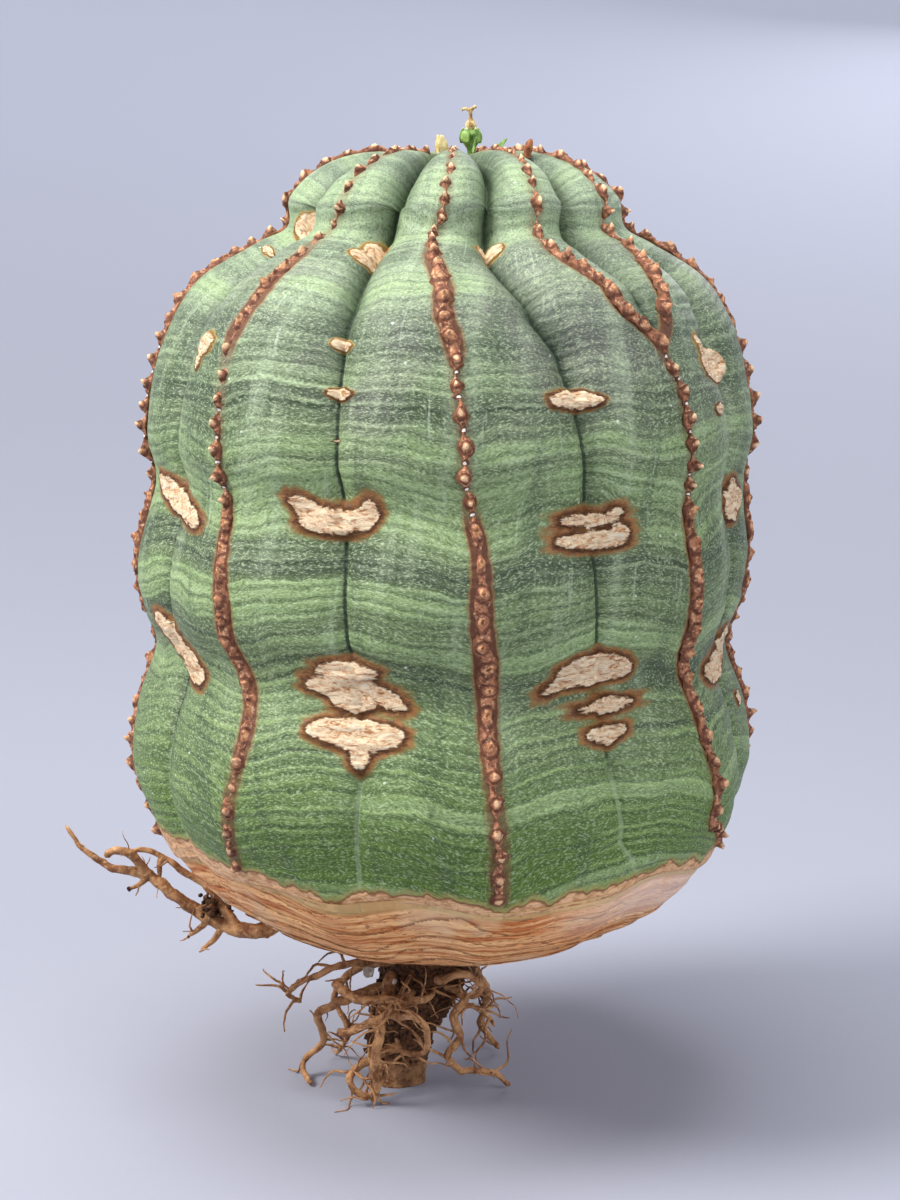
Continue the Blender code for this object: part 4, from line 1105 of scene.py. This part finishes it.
def crumb(centre, size, rng):
    """A small angular lump."""
    work = bmesh.new()
    bmesh.ops.create_icosphere(work, subdivisions=1, radius=1.0)
    vertices = np.array([v.co[:] for v in work.verts])
    faces = [tuple(v.index for v in face.verts) for face in work.faces]
    work.free()
    stretch = np.array([rng.uniform(0.6, 1.2) for _ in range(3)])
    wobble = np.array([rng.uniform(0.75, 1.2) for _ in range(len(vertices))])
    return centre + vertices * stretch * wobble[:, None] * size, faces


def add_crumbs(parts, spots, count, rng, sizes, soil, lowest=-1.0):
    """Lumps of soil at seeded spots, none of them below the lowest height."""
    for _ in range(count):
        spot = spots[rng.randrange(len(spots))]
        if spot[2] >= lowest:
            parts.take(*crumb(spot, rng.uniform(*sizes), rng), soil)


def make_taproot_core(parts, rng):
    """The stump with the soil that clings to it."""
    centres = smooth_path([p[:3] for p in TAPROOT], 0.25)
    radii_table = [(p[2], p[3]) for p in reversed(TAPROOT)]
    points = spaced(centres, 90)[0]
    sides = 72
    turn = 2 * np.pi * np.arange(sides) / sides
    ring = level_ring(1.0, turn, 0.0)
    vertices = np.vstack([point + ring * read_table(radii_table, point[2]) for point in points])
    centre = np.repeat(points, sides, axis=0)
    grow = 1 + 0.10 * layered_noise(vertices, 4.5, SEED + 150, 4) - 0.03
    vertices = centre + (vertices - centre) * grow[:, None]
    soil = smooth(vertices[:, 2], 2.0, 9.0) * 0.45 + 0.35
    parts.take(vertices, closed_faces(len(points), sides), soil)
    add_crumbs(parts, vertices, 420, rng, (0.25, 0.8), 0.9, 4.0)


def make_roots(material):
    rng = random.Random(SEED + 2)
    parts = MeshParts()
    make_taproot_core(parts, rng)
    routes = [add_root(parts, radius, points, rng, 0.12) for radius, points in SIDE_ROOTS.values()]
    add_rootlets(parts, routes, 140, rng, (3.5, 9.0), 0.27)
    for route in routes:
        add_crumbs(parts, route, 9, rng, (0.2, 0.55), 0.85)
    parts.piece("root_tangle", material, "root_bark", "root_bunch")

    parts = MeshParts()
    routes = [add_root(parts, radius, points, rng, 0.1) for radius, points in LEFT_ROOTS.values()]
    add_rootlets(parts, routes, 22, rng, (2.0, 5.0), 0.18)
    clump = np.array([-36.4, -6.6, 31.2])
    for _ in range(60):
        offset = np.array([rng.gauss(0, 0.9) for _ in range(3)])
        parts.take(*crumb(clump + offset, rng.uniform(0.3, 0.85), rng), 0.9)
    for route in routes:
        add_crumbs(parts, route, 4, rng, (0.2, 0.45), 0.8)
    parts.piece("left_root_fine", material, "root_bark", "side_root")


def make_grit(material):
    rng = random.Random(SEED + 3)
    parts = MeshParts()
    for spot, size in (((-12.6, -7.6, 21.0), 1.1), ((-8.5, -7.8, 19.6), 0.5)):
        parts.take(*crumb(np.array(spot), size, rng), 0.0)
    parts.piece("soil_grit", material, "dry_tan")


def make_camera():
    data = bpy.data.cameras.new("photo_camera")
    data.sensor_fit = "VERTICAL"
    data.sensor_height = SENSOR
    data.lens = SENSOR * FOCAL_PIXELS / PHOTO_SIZE[1]
    data.clip_start = 0.01
    data.clip_end = 10.0
    camera = add_object("photo_camera", data)
    camera.location = Vector((AXIS_X, AXIS_Y - CAMERA_DISTANCE, CAMERA_HEIGHT)) * MM
    camera.rotation_euler = (math.radians(90 - CAMERA_PITCH), 0.0, 0.0)
    bpy.context.scene.camera = camera


def make_studio():
    """A floor that bends up into a wall on every side, so no edge shows from any angle."""
    # Paper that is a little paler up the wall, so that wall and floor look alike from the front
    shader = Shader("studio_paper", 0.1)
    place = shader.position()
    weave = shader.noise(place, 900.0, 2.0)
    paler = (shader.coordinate(place, "Z"), *STUDIO_PALER_HEIGHTS)
    paper = shader.paint((150, 152, 164), ((184, 187, 203), 1.0, paler))
    material = shader.finish(paper, shader.between(weave, 0.85, 0.95), (weave, 0.02))

    profile = [(STUDIO_FLOOR_RADIUS, 0.0)]
    for step in range(1, STUDIO_BEND_STEPS + 1):
        turn = math.pi / 2 * step / STUDIO_BEND_STEPS
        out = STUDIO_FLOOR_RADIUS + STUDIO_BEND * math.sin(turn)
        profile.append((out, STUDIO_BEND * (1 - math.cos(turn))))
    profile.append((STUDIO_FLOOR_RADIUS + STUDIO_BEND, STUDIO_TOP))
    turn = 2 * np.pi * np.arange(STUDIO_SIDES) / STUDIO_SIDES
    rings = [level_ring(radius, turn, height) for radius, height in profile]
    vertices = np.vstack(rings + [[[0.0, 0.0, 0.0]]])
    faces = ring_faces(len(profile), STUDIO_SIDES)
    faces += [(i, (i + 1) % STUDIO_SIDES, len(vertices) - 1) for i in range(STUDIO_SIDES)]
    bowl = smooth_object("studio_bowl", vertices.tolist(), faces, material)


def area_light(name, place, aim, size, power, colour):
    data = bpy.data.lights.new(name, "AREA")
    data.shape = "DISK"
    data.size = size
    data.energy = power
    data.color = colour
    light = add_object(name, data)
    light.location = place
    light.rotation_euler = (Vector(aim) - Vector(place)).to_track_quat("-Z", "Y").to_euler()


def make_lights():
    middle = (0.0, 0.0, 0.09)
    area_light("key", (-0.66, -0.20, 0.75), middle, 0.45, 12.8, (1.0, 0.99, 0.96))
    area_light("fill", (0.50, -0.52, 0.42), middle, 0.50, 3.0, (0.97, 0.98, 1.0))
    area_light("top", (-0.05, -0.05, 1.00), middle, 0.60, 7.5, (1.0, 1.0, 0.99))
    area_light("back", (0.30, 0.75, 0.50), middle, 0.60, 2.0, (0.97, 0.98, 1.0))
    world = bpy.data.worlds.new("studio_air")
    world.use_nodes = True
    air = world.node_tree.nodes["Background"].inputs
    air["Color"].default_value = (0.80, 0.82, 0.90, 1.0)
    air["Strength"].default_value = 0.30
    bpy.context.scene.world = world
    bpy.context.scene.view_settings.view_transform = "Standard"


def flat_edge(piece):
    set_attribute(piece, "edge", np.zeros(len(piece.data.vertices)))


def turned(outline, base, sides, ripple=0.0, lobes=5):
    """An outline turned about an upright axis, with lobes that ripple its rim."""
    rows = smooth_path(outline, 0.12)
    turn = 2 * np.pi * np.arange(sides) / sides
    vertices, share = [], []
    for index, (radius, height) in enumerate(rows):
        part = index / (len(rows) - 1)
        wave = 1 + ripple * part * np.cos(lobes * turn)
        vertices.append(base + level_ring(radius * wave, turn, height))
        share.append(np.full(sides, part))
    return np.vstack(vertices), closed_faces(len(rows), sides), np.concatenate(share)


def node_base(name):
    """The centre of a node's lowest points, in millimetres about the stem's axis."""
    low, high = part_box(name)
    x, y = ((low[k] + high[k]) / 2 / MM for k in (0, 1))
    return np.array([x - AXIS_X, y - AXIS_Y, low[2] / MM])


def blade(base, direction, normal, length, width, thickness, curl):
    """A thin pointed leaf that curls towards its normal."""
    direction = np.asarray(direction, float) / np.linalg.norm(direction)
    side = np.cross(direction, normal)
    side /= np.linalg.norm(side)
    lift = np.cross(side, direction)
    vertices = []
    for index in range(BLADE_ROWS):
        t = index / (BLADE_ROWS - 1)
        half = width / 2 * math.sin(math.pi * min(1.0, 0.22 + 0.78 * t)) ** 0.7 + 0.03
        centre = base + direction * length * t + lift * curl * t * t
        for x, y in BLADE_SECTION:
            cup = 0.28 * half * x * x
            vertices.append(centre + side * half * x + lift * (thickness * y + cup))
    return np.array(vertices), closed_faces(BLADE_ROWS, len(BLADE_SECTION))


def make_apex(green, tan, yellow, brown):
    """The cup with its bracts, ovary and style, the bud, the old peduncle and the leaflets."""
    base = node_base("cyathium")
    parts = MeshParts()
    edge = []
    outline = ((0.50, 0.0), (0.56, 0.8), (0.90, 1.3), (1.32, 2.0), (1.50, 2.8), (1.36, 3.4), (0.95, 3.6))
    vertices, faces, share = turned(outline, base, 40, 0.05)
    parts.take(vertices, faces, 0.0)
    edge.append(share * 0.5)
    for lobe in range(5):
        turn = 2 * math.pi * (lobe + 0.3) / 5
        out = np.array([math.cos(turn), math.sin(turn), 0.0])
        start = base + out * 1.22 + np.array([0.0, 0.0, 1.7])
        parts.take(*blade(start, out * 0.16 + np.array([0, 0, 1.0]), out, 2.2, 1.6, 0.24, -0.45), 0.0)
        edge.append(np.repeat(np.linspace(0.0, 1.0, BLADE_ROWS) ** 3, len(BLADE_SECTION)))
    cup = parts.piece("cyathium_cup", green, "young_green", "cyathium")
    set_attribute(cup, "edge", np.concatenate(edge))

    base = base + np.array([0.0, 0.0, 3.9])
    parts = MeshParts()
    outline = ((0.5, -0.5), (0.78, 0.0), (0.82, 0.5), (0.5, 1.1), (0.22, 1.5))
    parts.take(*turned(outline, base, 30, 0.06, 3)[:2], 0.0)
    arms = (((0.0, 0.0, 1.2), (-0.1, 0.0, 2.3), (-0.7, 0.0, 2.75), (-1.3, 0.1, 2.6)),
            ((0.0, 0.0, 1.2), (0.0, 0.0, 2.2), (0.35, -0.05, 2.8), (0.8, -0.1, 3.1)),
            ((0.0, 0.0, 1.2), (0.0, 0.1, 2.2), (0.1, 0.6, 2.7), (0.2, 1.0, 2.8)))
    for arm in arms:
        path = smooth_path(base + np.array(arm), 0.12)
        radii = np.linspace(0.26, 0.20, len(path))
        radii[-3:] = 0.27
        parts.take(*tube(path, radii, 10, 0.2, SEED + 170), 0.0)
    flat_edge(parts.piece("ovary_fine", tan, "dry_tan", "ovary_and_style"))

    parts = MeshParts()
    base = node_base("flower_bud")
    for lobe in range(4):
        turn = 2 * math.pi * lobe / 4 + 0.4
        out = np.array([math.cos(turn), math.sin(turn), 0.0])
        start = base + out * 0.35
        lean = out * 0.12 + np.array([-0.15, -0.08, 1.0])
        parts.take(*blade(start, lean, out, 2.9, 1.5, 0.35, -0.35), 0.0)
    outline = ((0.4, 0.0), (0.7, 0.9), (0.62, 1.8), (0.2, 2.5))
    parts.take(*turned(outline, base, 24, 0.1, 4)[:2], 0.0)
    flat_edge(parts.piece("flower_bud_fine", yellow, "bud_yellow", "flower_bud"))

    parts = MeshParts()
    base = node_base("old_peduncle")
    lean = np.array([0.3, -0.1, 1.0]) / math.sqrt(1.1)
    along = np.linspace(0.0, 2.7, 26)
    path = np.array([base + lean * t for t in along])
    radii = np.interp(along, (0.0, 1.2, 2.1, 2.7), (0.62, 0.6, 0.5, 0.2))
    parts.take(*tube(path, radii, 14, 0.35, SEED + 180), 0.0)
    flat_edge(parts.piece("old_peduncle_fine", brown, "dried_brown", "old_peduncle"))

    for name, lean in (("leaflet_right", (0.75, -0.1, 0.6)), ("leaflet_front", (0.35, -0.5, 0.8))):
        parts = MeshParts()
        parts.take(*blade(node_base(name), lean, (-0.3, -0.6, 0.7), 2.7, 1.15, 0.35, 0.5), 0.0)
        flat_edge(parts.piece(name + "_fine", green, "young_green", name))


make_camera()
make_skin(skin_material())
make_keels(keel_material())
make_cork(cork_material())
make_roots(root_material())
make_grit(grit_material())
make_apex(
    plain_tissue("green_tissue", (84, 124, 50), (150, 182, 98), (222, 214, 164), 900.0, 0.45, 0.08),
    plain_tissue("tan_tissue", (138, 104, 56), (220, 196, 138), (150, 104, 56), 1100.0, 0.3, 0.1),
    plain_tissue("yellow_tissue", (206, 176, 104), (240, 226, 170), (196, 120, 70), 900.0, 0.4, 0.08),
    plain_tissue("brown_tissue", (88, 48, 30), (178, 112, 70), (214, 150, 100), 900.0, 0.2, 0.2),
)
make_studio()
make_lights()
